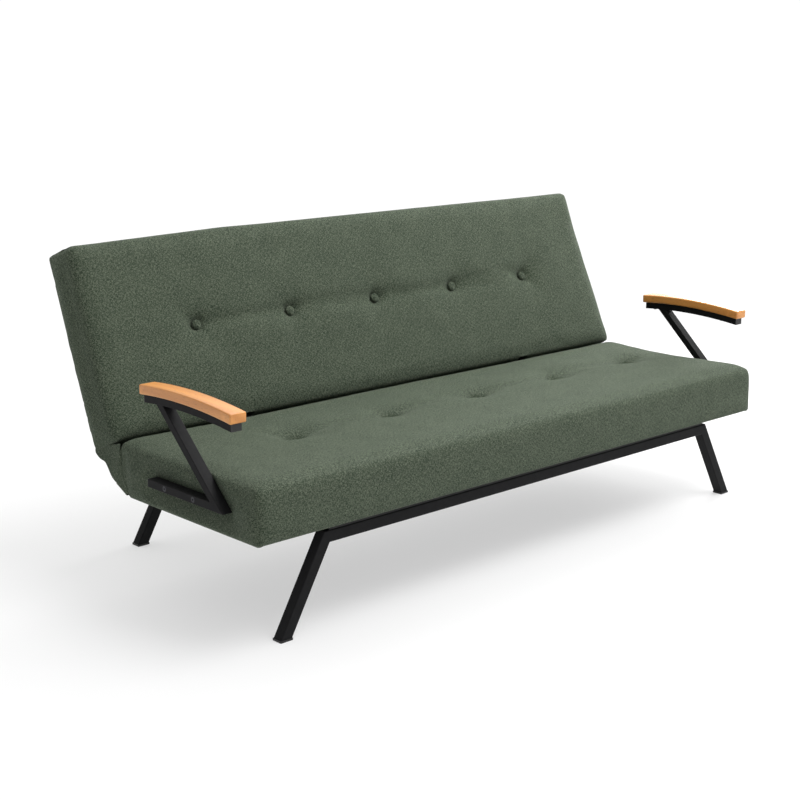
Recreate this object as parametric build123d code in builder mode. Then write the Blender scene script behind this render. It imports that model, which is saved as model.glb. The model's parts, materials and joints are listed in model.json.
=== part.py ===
"""Click-clack sofa bed: an upholstered seat and back that fold flat on a splayed tube base."""

import os
from math import atan2, cos, hypot, radians, sin, sqrt, tan

from build123d import *

# ---------------------------------------------------------------------------------------------
# Driving dimensions, in millimetres and degrees.
# X runs along the sofa, Y to the rear and Z up. The origin is on the floor, under the middle.
# ---------------------------------------------------------------------------------------------

# Upholstered seat and back
pad_length = 1890.0
seat_top = 393.0
seat_thickness = 138.0
seat_depth = 576.0
seat_underside_depth = 545.0
seat_heel_height = 85.0
back_height = 514.0
back_thickness = 115.0
back_lean = 23.2
crease_depth = 566.0
crease_travel = 33.0
seat_foam = 48.0
back_foam = 46.0
pad_wall = 12.0
pad_nose_round = 40.0
pad_edge_round = 14.0
pad_end_round = 10.0

# Timber frames inside the pads
timber = 22.0
frame_set_in = 5.0
cross_rail_drop = 12.5
cloth_thickness = 1.5
cloth_gap = 1.0

# Zigzag springs of the seat and webbing of the back
spring_wire = 3.6
spring_count = 8
spring_pitch = 44.0
spring_width = 50.0
spring_end_margin = 90.0
webbing_width = 60.0
webbing_thickness = 2.0
webbing_count = 7
webbing_end_margin = 170.0

# Buttons
button_diameter = 28.0
button_height = 9.0
button_sink = 2.0
button_count = 5
button_pocket_gap = 2.0
seat_button_pitch = 333.0
seat_button_row = 336.0
seat_button_shift = 85.0
back_button_pitch = 318.0
back_button_row = 265.0
back_button_shift = 8.0

# Tube base
base_tube = 30.0
tube_wall = 2.0
tube_corner = 3.0
leg_splay = 29.6
bar_top = 242.0
front_bar_setback = 21.0
rear_bar_setback = 827.0
front_foot_outer = 886.0
rear_foot_outer = 750.0
foot_flange = 5.0
foot_lip = 1.5
foot_plug = 16.0
plug_gap = 0.2
rest_strip_gap = 0.5
rest_strip_width = 24.0
rest_block_length = 60.0
rest_block_spacing = 900.0

# Ratchet hinges
hinge_spacing = 1090.0
plate = 5.0
plate_gap = 2.0
knuckle_gap = 0.5
pin_diameter = 12.0
pin_head = 18.0
pin_gap = 0.05
head_thickness = 3.0
arm_tail_radius = 14.0
seat_arm_knee = (37.5, 54.0)
seat_arm_reach = 142.5
back_arm_knee = (52.0, 78.0)
back_arm_reach = 156.0
slot_gap = 3.0
base_plate_foot = 64.0
base_bolt_offset = 22.0
ratchet_radius = 30.0
ratchet_tooth = 4.0
ratchet_pitch = 12.0
ratchet_gap = 0.8
pawl_drop = 62.0
pawl_boss = 7.0
pawl_tip = 3.0
pawl_pin = 6.0
bolt_diameter = 8.0
bolt_head = 13.0
bolt_head_height = 5.0
bolt_gap = 0.2
bolt_bite = 18.0
bolt_pitch = 50.0

# Arms
arm_tube_width = 29.0
arm_tube_height = 20.0
arm_tube_wall = 1.5
arm_side_gap = 1.0
arm_bar_bottom = 311.5
arm_bar_rear = 412.0
arm_tip = 110.0
arm_strut_angle = 43.6
arm_bolt_first = 226.0
arm_bolt_pitch = 117.0
arm_bolt_head = 14.0
armrest_width = 46.0
armrest_thickness = 24.5
armrest_front = 58.5
armrest_rear = 422.5
armrest_front_bottom = 532.5
armrest_rear_bottom = 541.0
armrest_rise = 10.5
armrest_overhang = 10.0
armrest_edge = 4.0
armrest_screw = 5.0
armrest_screw_inset = 70.0

# Fabric gusset behind the seat
gusset_sheet = 3.0
gusset_clear = 5.0
gusset_sag = (18.0, 17.0)
gusset_bulge = (64.0, 62.0)

# ---------------------------------------------------------------------------------------------
# Places that follow from the dimensions
# ---------------------------------------------------------------------------------------------

lean = radians(back_lean)
splay = radians(leg_splay)
fold_angle = 90.0 - back_lean
sofa_depth = (
    crease_depth
    + (back_height - pad_edge_round) * sin(lean)
    + (back_thickness - pad_edge_round) * cos(lean)
    + pad_edge_round
)
front_y = -sofa_depth / 2

seat_bottom = seat_top - seat_thickness
seat_rear_y = front_y + seat_depth
seat_heel_y = front_y + seat_underside_depth
seat_heel_z = seat_top - seat_heel_height
crease_y = front_y + crease_depth
pivot_y = crease_y + crease_travel / 2
pivot_z = seat_top - crease_travel / 2 / tan(radians(fold_angle / 2))
knuckle_radius = crease_travel / 2 - knuckle_gap

frame_half_length = pad_length / 2 - pad_wall
frame_front_y = front_y + pad_wall
frame_rear_y = seat_heel_y - frame_set_in
frame_bottom = seat_bottom + cloth_thickness + cloth_gap
frame_top = seat_top - seat_foam

back_frame_front = back_foam + webbing_thickness
back_frame_rear = back_thickness - cloth_thickness - cloth_gap

plate_inner_x = hinge_spacing / 2 - plate
seat_arm_inner_x = plate_inner_x - plate_gap - plate
back_arm_inner_x = plate_inner_x + plate + plate_gap
rail_x = hinge_spacing / 2 + base_tube / 2
slot_inner_x = seat_arm_inner_x - slot_gap - head_thickness
slot_outer_x = back_arm_inner_x + plate + slot_gap + head_thickness
slot_width = slot_outer_x - slot_inner_x
slot_centres = [side * (slot_outer_x + slot_inner_x) / 2 for side in (-1, 1)]

bar_z = bar_top - base_tube / 2
bar_bottom = bar_top - base_tube
leg_section = base_tube / cos(splay)
front_bar_y = front_y + front_bar_setback + base_tube / 2
rear_bar_y = front_y + rear_bar_setback + base_tube / 2

arm_inner_x = pad_length / 2 + arm_side_gap
arm_centre_x = arm_inner_x + arm_tube_width / 2
armrest_chord = hypot(armrest_rear - armrest_front, armrest_rear_bottom - armrest_front_bottom)
armrest_radius = (armrest_chord**2 / 4 + armrest_rise**2) / (2 * armrest_rise)
armrest_tilt = atan2(armrest_rear_bottom - armrest_front_bottom, armrest_rear - armrest_front)
armrest_middle_y = front_y + (armrest_front + armrest_rear) / 2
armrest_middle_z = (armrest_front_bottom + armrest_rear_bottom) / 2
arch_centre_y = armrest_middle_y + sin(armrest_tilt) * (armrest_radius - armrest_rise)
arch_centre_z = armrest_middle_z - cos(armrest_tilt) * (armrest_radius - armrest_rise)

# The back lies in this plane: X along the sofa, Y up the face, Z out of the face towards the front.
back_face = Plane(
    origin=(0, crease_y, seat_top), x_dir=(1, 0, 0), z_dir=(0, -cos(lean), sin(lean))
)
SIDES = {"left": -1, "right": 1}


def save(piece, name):
    """Label a finished piece and write its STEP file."""
    piece.label = name
    export_step(piece, f"parts/{name}.step")


def back_point(up, behind):
    """Y and Z of a point of the back, from its distance up the face and behind it."""
    return (
        crease_y + up * sin(lean) + behind * cos(lean),
        seat_top + up * cos(lean) - behind * sin(lean),
    )


def around_pivot(radius, angle):
    """Y and Z of a point around the hinge axis, with the angle taken from +Y towards +Z."""
    return (pivot_y + radius * cos(radians(angle)), pivot_z + radius * sin(radians(angle)))


def arch_z(y, offset=0.0):
    """Height of the armrest's underside at Y, or of a curve that far above it."""
    return arch_centre_z + sqrt((armrest_radius + offset) ** 2 - (y - arch_centre_y) ** 2)


def button_places(pitch, row, shift):
    """Centres of one row of buttons along the sofa."""
    first = shift - pitch * (button_count - 1) / 2
    return [(first + pitch * i, row) for i in range(button_count)]


def spread(count, span):
    """Evenly spaced places over a span about the middle."""
    return [-span / 2 + span * i / (count - 1) for i in range(count)]


def hinge_sides(inner_x, thickness):
    """Lowest X of one plate at the left and at the right hinge."""
    return [-inner_x - thickness, inner_x]


def block(plane, width, height, thickness, centres=((0, 0),), mode=Mode.ADD):
    """Add or cut rectangular blocks that stand on a plane of the current part."""
    with BuildSketch(plane) as outline:
        with Locations(*centres):
            Rectangle(width, height)
    extrude(outline.sketch, amount=thickness, mode=mode)


def rod(plane, radius, length, centres, mode=Mode.ADD):
    """Add or cut round rods that stand on a plane of the current part."""
    with BuildSketch(plane) as outline:
        with Locations(*centres):
            Circle(radius)
    extrude(outline.sketch, amount=length, mode=mode)


seat_buttons_at = button_places(seat_button_pitch, front_y + seat_button_row, seat_button_shift)
back_buttons_at = button_places(back_button_pitch, back_button_row, back_button_shift)
pocket_radius = button_diameter / 2 + button_pocket_gap
arm_bolts_at = [
    (front_y + arm_bolt_first + arm_bolt_pitch * i, arm_bar_bottom + arm_tube_height / 2)
    for i in range(2)
]
armrest_screws_y = [
    front_y + armrest_front + armrest_screw_inset,
    front_y + armrest_rear - armrest_screw_inset / 2,
]
seat_arm_points = [
    (pivot_y, pivot_z),
    (pivot_y - seat_arm_knee[0], pivot_z - seat_arm_knee[1]),
    (pivot_y - seat_arm_reach, pivot_z - seat_arm_knee[1]),
]
back_arm_points = [
    (pivot_y, pivot_z),
    back_point(back_arm_knee[0], back_arm_knee[1]),
    back_point(back_arm_reach, back_arm_knee[1]),
]
seat_bolts_at = [(seat_arm_points[2][0] + bolt_pitch * i, seat_arm_points[2][1]) for i in range(2)]
back_bolts_at = [back_point(back_arm_reach - bolt_pitch * i, back_arm_knee[1]) for i in range(2)]
base_bolts_at = [(pivot_y + base_bolt_offset * i, bar_z) for i in (-1, 1)]
pawl_z = pivot_z - pawl_drop

os.makedirs("parts", exist_ok=True)

# ---------------------------------------------------------------------------------------------
# Tube base
# ---------------------------------------------------------------------------------------------


def leg_centre_x(foot_outer, z):
    """X of a leg's centre line at height Z, on the right side."""
    return foot_outer - leg_section / 2 - z * tan(splay)


def leg_plane(side, foot_outer, y):
    """Plane across a leg's foot, with Z up the leg."""
    return Plane(
        origin=(side * leg_centre_x(foot_outer, 0), y, 0),
        x_dir=(0, 1, 0),
        z_dir=(-side * sin(splay), 0, cos(splay)),
    )


def mitre_plane(side, foot_outer, y):
    """Plane between a leg and its cross bar, with Z on the leg's side."""
    return Plane(
        origin=(side * leg_centre_x(foot_outer, bar_z), y, bar_z),
        x_dir=(0, 1, 0),
        z_dir=(side * (1 + sin(splay)), 0, -cos(splay)),
    )


def square_tube(plane, length, centre=(0, 0)):
    """Add a hollow square tube that stands on a plane."""
    with BuildSketch(plane) as section:
        with Locations(centre):
            RectangleRounded(base_tube, base_tube, tube_corner)
            Rectangle(base_tube - 2 * tube_wall, base_tube - 2 * tube_wall, mode=Mode.SUBTRACT)
    extrude(section.sketch, amount=length)


for end, foot_outer, bar_y in (
    ("front", front_foot_outer, front_bar_y),
    ("rear", rear_foot_outer, rear_bar_y),
):
    with BuildPart() as cross_bar:
        square_tube(Plane.YZ.offset(-foot_outer), 2 * foot_outer, (bar_y, bar_z))
        for side in SIDES.values():
            split(bisect_by=mitre_plane(side, foot_outer, bar_y), keep=Keep.BOTTOM)
    save(cross_bar.part, f"{end}_bar")

    for side_name, side in SIDES.items():
        with BuildPart() as leg:
            foot_plane = leg_plane(side, foot_outer, bar_y)
            square_tube(foot_plane.offset(-base_tube), (bar_top + 3 * base_tube) / cos(splay))
            split(bisect_by=Plane.XY.offset(foot_flange), keep=Keep.TOP)
            split(bisect_by=mitre_plane(side, foot_outer, bar_y), keep=Keep.TOP)
        save(leg.part, f"{end}_{side_name}_leg")

for side_name, side in SIDES.items():
    with BuildPart() as side_rail:
        rail_length = rear_bar_y - front_bar_y - base_tube
        rail_start = Plane.XZ.offset(-front_bar_y - base_tube / 2)
        square_tube(rail_start, -rail_length, (side * rail_x, bar_z))
        hole_start = Plane.YZ.offset(side * rail_x - base_tube)
        rod(hole_start, bolt_diameter / 2 + bolt_gap, 2 * base_tube, base_bolts_at, Mode.SUBTRACT)
    save(side_rail.part, f"{side_name}_side_rail")

plug = base_tube - 2 * tube_wall - 2 * plug_gap
with BuildPart() as feet:
    for side in SIDES.values():
        for foot_outer, bar_y in ((front_foot_outer, front_bar_y), (rear_foot_outer, rear_bar_y)):
            with BuildSketch(Plane.XY):
                with Locations((side * leg_centre_x(foot_outer, foot_flange), bar_y)):
                    RectangleRounded(
                        leg_section + 2 * foot_lip, base_tube + 2 * foot_lip, tube_corner
                    )
            extrude(amount=foot_flange)
            plug_start = plug / 2 * tan(splay) + plug_gap
            block(leg_plane(side, foot_outer, bar_y).offset(plug_start), plug, plug, foot_plug)
save(feet.part, "feet")

with BuildPart() as front_rest_strip:
    block(
        Plane.XY.offset(bar_top),
        2 * leg_centre_x(front_foot_outer, bar_top),
        rest_strip_width,
        seat_bottom - rest_strip_gap - bar_top,
        [(0, front_bar_y)],
    )
save(front_rest_strip.part, "front_rest_strip")

with BuildPart() as rear_rest_blocks:
    block(
        Plane.XY.offset(bar_top),
        rest_block_length,
        rest_strip_width,
        seat_top - back_thickness - rest_strip_gap - bar_top,
        [(side * rest_block_spacing / 2, rear_bar_y) for side in SIDES.values()],
    )
save(rear_rest_blocks.part, "rear_rest_blocks")

# ---------------------------------------------------------------------------------------------
# Ratchet hinges, one at each side rail
# ---------------------------------------------------------------------------------------------

with BuildPart() as hinge_base_plates:
    for x in hinge_sides(plate_inner_x, plate):
        start = Plane.YZ.offset(x)
        post_height = pivot_z - bar_bottom
        rod(start, knuckle_radius, plate, [(pivot_y, pivot_z)])
        block(start, 2 * knuckle_radius, post_height, plate, [(pivot_y, pivot_z - post_height / 2)])
        block(start, base_plate_foot, base_tube, plate, [(pivot_y, bar_z)])
        rod(start, pin_diameter / 2 + pin_gap, plate, [(pivot_y, pivot_z)], Mode.SUBTRACT)
        rod(start, pawl_pin / 2 + pin_gap, plate, [(pivot_y, pawl_z)], Mode.SUBTRACT)
        rod(start, bolt_diameter / 2 + bolt_gap, plate, base_bolts_at, Mode.SUBTRACT)
save(hinge_base_plates.part, "hinge_base_plates")


def cranked_arms(inner_x, points, bolts_at):
    """Add a cranked flat arm at each hinge, with its pin hole and bolt holes."""
    for x in hinge_sides(inner_x, plate):
        start = Plane.YZ.offset(x)
        for first, second in zip(points, points[1:]):
            with BuildSketch(start) as link:
                for point in (first, second):
                    with Locations(point):
                        Circle(knuckle_radius if point == points[0] else arm_tail_radius)
                make_hull()
            extrude(link.sketch, amount=plate)
        rod(start, pin_diameter / 2 + pin_gap, plate, points[:1], Mode.SUBTRACT)
        rod(start, bolt_diameter / 2 + bolt_gap, plate, bolts_at, Mode.SUBTRACT)


with BuildPart() as seat_hinge_arms:
    cranked_arms(seat_arm_inner_x, seat_arm_points, seat_bolts_at)
save(seat_hinge_arms.part, "seat_hinge_arms")

# The ratchet's teeth pass the pawl, straight under the pin, over the whole fold.
ratchet_start = -90.0 - ratchet_pitch / 2
tooth_count = round((fold_angle + ratchet_pitch) / ratchet_pitch)
tooth_step = (fold_angle + ratchet_pitch) / tooth_count
root_radius = ratchet_radius - ratchet_tooth
ratchet_outline = [around_pivot(knuckle_radius / 2, ratchet_start)]
for tooth in range(tooth_count):
    root_angle = ratchet_start + tooth * tooth_step
    ratchet_outline.append(around_pivot(root_radius, root_angle))
    ratchet_outline.append(around_pivot(ratchet_radius, root_angle + tooth_step))
ratchet_outline.append(around_pivot(knuckle_radius / 2, ratchet_start + tooth_count * tooth_step))

with BuildPart() as back_hinge_arms:
    for x in hinge_sides(back_arm_inner_x, plate):
        with BuildSketch(Plane.YZ.offset(x)):
            with BuildLine():
                Polyline(*ratchet_outline, close=True)
            make_face()
        extrude(amount=plate)
    cranked_arms(back_arm_inner_x, back_arm_points, back_bolts_at)
save(back_hinge_arms.part, "back_hinge_arms")

pin_length = back_arm_inner_x + plate - seat_arm_inner_x + plate_gap
with BuildPart() as hinge_pins:
    for x in hinge_sides(seat_arm_inner_x - plate_gap / 2, pin_length):
        rod(Plane.YZ.offset(x), pin_diameter / 2, pin_length, [(pivot_y, pivot_z)])
        for head_x in (x - head_thickness, x + pin_length):
            rod(Plane.YZ.offset(head_x), pin_head / 2, head_thickness, [(pivot_y, pivot_z)])
save(hinge_pins.part, "hinge_pins")

for side_name, x in zip(SIDES, hinge_sides(back_arm_inner_x, plate)):
    with BuildPart() as pawl:
        with BuildSketch(Plane.YZ.offset(x)):
            with Locations((pivot_y, pawl_z)):
                Circle(pawl_boss)
            with Locations((pivot_y, pivot_z - ratchet_radius - ratchet_gap - pawl_tip)):
                Circle(pawl_tip)
            make_hull()
        extrude(amount=plate)
        start = Plane.YZ.offset(x)
        rod(start, pawl_pin / 2 + pin_gap, plate, [(pivot_y, pawl_z)], Mode.SUBTRACT)
    save(pawl.part, f"{side_name}_ratchet_pawl")

pawl_pin_length = 2 * plate + plate_gap + 2 * head_thickness
with BuildPart() as pawl_pins:
    for x in hinge_sides(plate_inner_x, pawl_pin_length):
        rod(Plane.YZ.offset(x), pawl_pin / 2, pawl_pin_length, [(pivot_y, pawl_z)])
    for x in hinge_sides(plate_inner_x - head_thickness, head_thickness):
        rod(Plane.YZ.offset(x), pawl_pin, head_thickness, [(pivot_y, pawl_z)])
save(pawl_pins.part, "pawl_pins")

with BuildPart() as pawl_springs:
    for x in hinge_sides(back_arm_inner_x + plate + knuckle_gap, head_thickness):
        start = Plane.YZ.offset(x)
        rod(start, pawl_boss, head_thickness, [(pivot_y, pawl_z)])
        spring_leg = (pivot_y - pawl_boss + spring_wire / 4, pawl_z - pawl_boss)
        block(start, spring_wire / 2, 2 * pawl_boss, head_thickness, [spring_leg])
        rod(start, pawl_pin / 2 + plug_gap, head_thickness, [(pivot_y, pawl_z)], Mode.SUBTRACT)
save(pawl_springs.part, "pawl_springs")


def bolts(seat_x, direction, length, centres):
    """Add hexagon bolts along X, with their heads behind seat_x and their shanks ahead of it."""
    start = Plane.YZ.offset(seat_x)
    with BuildSketch(start) as heads:
        with Locations(*centres):
            RegularPolygon(bolt_head / 2, 6)
    extrude(heads.sketch, amount=-direction * bolt_head_height)
    rod(start, bolt_diameter / 2, direction * length, centres)


with BuildPart() as base_hinge_bolts:
    for side in SIDES.values():
        bolts(side * plate_inner_x, side, plate + base_tube, base_bolts_at)
save(base_hinge_bolts.part, "base_hinge_bolts")

with BuildPart() as seat_hinge_bolts:
    for side in SIDES.values():
        bolts(side * (seat_arm_inner_x + plate), -side, plate + bolt_bite, seat_bolts_at)
save(seat_hinge_bolts.part, "seat_hinge_bolts")

with BuildPart() as back_hinge_bolts:
    for side in SIDES.values():
        bolts(side * back_arm_inner_x, side, plate + bolt_bite, back_bolts_at)
save(back_hinge_bolts.part, "back_hinge_bolts")

# ---------------------------------------------------------------------------------------------
# Seat: timber frame, springs, pad, cloth and buttons
# ---------------------------------------------------------------------------------------------

frame_height = frame_top - frame_bottom
frame_depth = frame_rear_y - frame_front_y
frame_middle_y = (frame_front_y + frame_rear_y) / 2
inner_depth = frame_depth - 2 * timber
side_board_x = frame_half_length - timber / 2
floor_of_frame = Plane.XY.offset(frame_bottom)

with BuildPart() as seat_front_rail:
    rail_at = [(0, frame_front_y + timber / 2)]
    block(floor_of_frame, 2 * frame_half_length, timber, frame_height, rail_at)
save(seat_front_rail.part, "seat_front_rail")

with BuildPart() as seat_rear_rail:
    rail_y = frame_rear_y - timber / 2
    block(floor_of_frame, 2 * frame_half_length, timber, frame_height, [(0, rail_y)])
    notch_floor = Plane.XY.offset(seat_arm_points[1][1] - arm_tail_radius - slot_gap)
    notches_at = [(x, rail_y) for x in slot_centres]
    block(notch_floor, slot_width, timber, frame_height, notches_at, Mode.SUBTRACT)
save(seat_rear_rail.part, "seat_rear_rail")

for side_name, side in SIDES.items():
    with BuildPart() as seat_side:
        side_at = [(side * side_board_x, frame_middle_y)]
        block(floor_of_frame, timber, inner_depth, frame_height, side_at)
        hole_start = Plane.YZ.offset(side * side_board_x - timber)
        rod(hole_start, bolt_diameter / 2 + bolt_gap, 2 * timber, arm_bolts_at, Mode.SUBTRACT)
    save(seat_side.part, f"seat_{side_name}_side")

with BuildPart() as seat_cross_rails:
    for x in hinge_sides(seat_arm_inner_x - timber, timber):
        cross_at = [(x + timber / 2, frame_middle_y)]
        block(floor_of_frame, timber, inner_depth, frame_height - cross_rail_drop, cross_at)
        hole_start = Plane.YZ.offset(x)
        rod(hole_start, bolt_diameter / 2 + bolt_gap, timber, seat_bolts_at, Mode.SUBTRACT)
save(seat_cross_rails.part, "seat_cross_rails")

# Each zigzag spring runs from the front rail to the rear rail, just below the rails' tops.
spring_span = inner_depth - 2 * spring_wire
spring_turns = round(spring_span / spring_pitch)
spring_step = spring_span / spring_turns
zigzag = [(0, -spring_span / 2)]
for turn in range(spring_turns):
    turn_y = -spring_span / 2 + turn * spring_step
    swing = spring_width / 2 if turn % 2 else -spring_width / 2
    zigzag.append((swing, turn_y + spring_step * 0.2))
    zigzag.append((swing, turn_y + spring_step * 0.8))
zigzag.append((0, spring_span / 2))
springs_x = spread(spring_count, 2 * (frame_half_length - spring_end_margin))

with BuildPart() as seat_springs:
    for spring_x in springs_x:
        with BuildSketch(Plane.XY.offset(frame_top - spring_wire - cloth_gap)):
            with BuildLine() as zigzag_line:
                Polyline(*[(spring_x + x, frame_middle_y + y) for x, y in zigzag])
            trace(zigzag_line.line, spring_wire)
        extrude(amount=spring_wire)
save(seat_springs.part, "seat_springs")

with BuildPart() as seat_cloth:
    block(
        Plane.XY.offset(seat_bottom),
        2 * frame_half_length - cloth_gap,
        frame_depth - cloth_gap,
        cloth_thickness,
        [(0, frame_middle_y)],
    )
save(seat_cloth.part, "seat_cloth")

with BuildPart() as seat_pad:
    with BuildSketch(Plane.YZ) as profile:
        with BuildLine():
            Polyline(
                (front_y, seat_bottom),
                (front_y, seat_top),
                (seat_rear_y, seat_top),
                (seat_rear_y, seat_heel_z),
                (seat_heel_y, seat_bottom),
                close=True,
            )
        make_face()
        fillet(profile.vertices().group_by(Axis.Y)[-1], pad_nose_round)
    extrude(amount=pad_length / 2, both=True)
    ends = seat_pad.faces().filter_by(Axis.X).edges()
    fillet(ends.filter_by(lambda edge: edge.center().Z > seat_bottom + 1), pad_end_round)
    cavity_floor = Plane.XY.offset(seat_bottom)
    cavity_at = [(0, frame_middle_y)]
    cavity_height = frame_top - seat_bottom
    block(
        cavity_floor, 2 * frame_half_length, frame_depth, cavity_height, cavity_at, Mode.SUBTRACT
    )
    slot_depth = seat_rear_y - frame_rear_y + timber
    slots_at = [(x, seat_rear_y - slot_depth / 2) for x in slot_centres]
    slot_height = pivot_z + knuckle_radius + slot_gap - seat_bottom
    block(cavity_floor, slot_width, slot_depth, slot_height, slots_at, Mode.SUBTRACT)
    for side in SIDES.values():
        hole_start = Plane.YZ.offset(side * frame_half_length - pad_wall)
        rod(hole_start, bolt_diameter / 2 + bolt_gap, 2 * pad_wall, arm_bolts_at, Mode.SUBTRACT)
    pocket_floor = Plane.XY.offset(seat_top)
    rod(pocket_floor, pocket_radius, -button_height - button_sink, seat_buttons_at, Mode.SUBTRACT)
save(seat_pad.part, "seat_pad")


def buttons(surface, centres):
    """Add domed buttons that sit in their pockets, below a pad's surface."""
    for centre in centres:
        with BuildSketch(surface.offset(-button_height - button_sink)) as disc:
            with Locations(centre):
                Circle(button_diameter / 2)
        extrude(disc.sketch, amount=button_height)
    middle = -button_height / 2 - button_sink
    rims = edges().filter_by(GeomType.CIRCLE)
    fillet(
        rims.filter_by(lambda rim: surface.to_local_coords(rim.center()).Z > middle),
        button_height / 3,
    )


with BuildPart() as seat_buttons:
    buttons(Plane.XY.offset(seat_top), seat_buttons_at)
save(seat_buttons.part, "seat_buttons")

# ---------------------------------------------------------------------------------------------
# Back: timber frame, webbing, pad, rear panel and buttons, all drawn in the plane of its face
# ---------------------------------------------------------------------------------------------

back_rail_depth = back_frame_rear - back_frame_front
back_inner_height = back_height - 2 * pad_wall - 2 * timber
back_middle = back_height / 2
front_of_frame = back_face.offset(-back_frame_front)

for rail_name, rail_middle in (
    ("back_bottom_rail", pad_wall + timber / 2),
    ("back_top_rail", back_height - pad_wall - timber / 2),
):
    with BuildPart() as back_rail:
        rail_at = [(0, rail_middle)]
        block(front_of_frame, 2 * frame_half_length, timber, -back_rail_depth, rail_at)
        if rail_middle < back_middle:
            notch_depth = back_arm_knee[1] + arm_tail_radius + slot_gap - back_frame_front
            notches_at = [(x, rail_middle) for x in slot_centres]
            block(front_of_frame, slot_width, timber, -notch_depth, notches_at, Mode.SUBTRACT)
    save(back_rail.part, rail_name)

for side_name, side in SIDES.items():
    with BuildPart() as back_side:
        side_at = [(side * side_board_x, back_middle)]
        block(front_of_frame, timber, back_inner_height, -back_rail_depth, side_at)
    save(back_side.part, f"back_{side_name}_side")

with BuildPart() as back_cross_rails:
    for x in hinge_sides(back_arm_inner_x + plate, timber):
        cross_at = [(x + timber / 2, back_middle)]
        block(front_of_frame, timber, back_inner_height, -back_rail_depth, cross_at)
        hole_start = Plane.YZ.offset(x)
        rod(hole_start, bolt_diameter / 2 + bolt_gap, timber, back_bolts_at, Mode.SUBTRACT)
save(back_cross_rails.part, "back_cross_rails")

with BuildPart() as back_webbing:
    straps_at = [
        (x, back_middle)
        for x in spread(webbing_count, 2 * (frame_half_length - webbing_end_margin))
    ]
    strap_height = back_height - 2 * pad_wall - cloth_gap
    block(front_of_frame, webbing_width, strap_height, webbing_thickness, straps_at)
save(back_webbing.part, "back_webbing")

with BuildPart() as back_panel:
    block(
        back_face.offset(-back_thickness),
        2 * frame_half_length - cloth_gap,
        back_height - 2 * pad_wall - cloth_gap,
        cloth_thickness,
        [(0, back_middle)],
    )
save(back_panel.part, "back_panel")

with BuildPart() as back_pad:
    block(back_face, pad_length, back_height, -back_thickness, [(0, back_middle)])
    long_edges = back_pad.edges().filter_by(Axis.X)
    fillet(long_edges, pad_edge_round)
    front_ends = back_pad.faces().filter_by(Axis.X).edges()
    fillet(front_ends, pad_end_round)
    cavity_at = [(0, back_middle)]
    cavity_height = back_height - 2 * pad_wall
    cavity_floor = back_face.offset(-back_thickness)
    block(
        cavity_floor,
        2 * frame_half_length,
        cavity_height,
        back_thickness - back_foam,
        cavity_at,
        Mode.SUBTRACT,
    )
    slot_start = back_face.offset(-(slot_gap + knuckle_gap))
    slot_reach = back_arm_knee[0]
    slots_at = [(x, slot_reach / 2) for x in slot_centres]
    slot_depth = back_arm_knee[1] + arm_tail_radius
    block(slot_start, slot_width, slot_reach, -slot_depth, slots_at, Mode.SUBTRACT)
    rod(back_face, pocket_radius, -button_height - button_sink, back_buttons_at, Mode.SUBTRACT)
save(back_pad.part, "back_pad")

with BuildPart() as back_buttons:
    buttons(back_face, back_buttons_at)
save(back_buttons.part, "back_buttons")

# ---------------------------------------------------------------------------------------------
# Fabric gusset that closes the wedge between the seat's heel and the back's lower end
# ---------------------------------------------------------------------------------------------

wedge_apex_y = seat_rear_y + gusset_clear
wedge_apex_z = seat_top - (wedge_apex_y - crease_y) * tan(lean) - gusset_clear / cos(lean)
gusset_sheet_line = [
    (seat_heel_y + gusset_clear + gusset_sheet, seat_bottom + gusset_sheet),
    (seat_rear_y + gusset_sag[0], seat_bottom + gusset_sag[1]),
    (seat_rear_y + gusset_bulge[0], seat_bottom + gusset_bulge[1]),
    back_point(-gusset_clear, back_thickness - gusset_clear),
]
wedge_outline = [(wedge_apex_y, wedge_apex_z), (wedge_apex_y, seat_heel_z)] + gusset_sheet_line
gusset_half = pad_length / 2 - pad_end_round

with BuildPart() as gusset:
    with BuildSketch(Plane.YZ):
        with BuildLine() as sheet_line:
            Polyline(*gusset_sheet_line)
        trace(sheet_line.line, gusset_sheet)
    extrude(amount=gusset_half, both=True)
    for x in (-gusset_half, gusset_half - gusset_sheet):
        with BuildSketch(Plane.YZ.offset(x)):
            with BuildLine():
                Polyline(*wedge_outline, close=True)
            make_face()
        extrude(amount=gusset_sheet)
    post_slots = [(x, pivot_y) for x in slot_centres]
    post_width = 2 * (knuckle_radius + slot_gap)
    below_heel = Plane.XY.offset(seat_bottom - gusset_sheet)
    block(below_heel, slot_width, post_width, seat_heel_height, post_slots, Mode.SUBTRACT)
save(gusset.part, "gusset")

# ---------------------------------------------------------------------------------------------
# Arms: a Z of rectangular tube bolted to the seat's side, with an arched wooden armrest
# ---------------------------------------------------------------------------------------------

strut_angle = radians(arm_strut_angle)
arm_bar_z = arm_bar_bottom + arm_tube_height / 2
arm_corner_y = front_y + arm_tip + arm_tube_height / 2 / tan(strut_angle / 2)
arm_top_front = front_y + armrest_front + armrest_overhang
arm_top_rear = front_y + armrest_rear - armrest_overhang
strut_rise = arch_z(armrest_middle_y, -arm_tube_height) - arm_bar_z
strut_top_y = arm_corner_y + strut_rise / tan(strut_angle)
strut_cut_half = arm_tube_height / 2 / sin(strut_angle)
strut_cut_from = strut_top_y - strut_cut_half
strut_cut_to = strut_top_y + strut_cut_half


def arm_mitre(x):
    """Plane of the weld between an arm's base bar and strut, with Z on the strut's side."""
    return Plane(
        origin=(x, arm_corner_y, arm_bar_z),
        x_dir=(1, 0, 0),
        z_dir=(0, -sin(strut_angle / 2), cos(strut_angle / 2)),
    )


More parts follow.
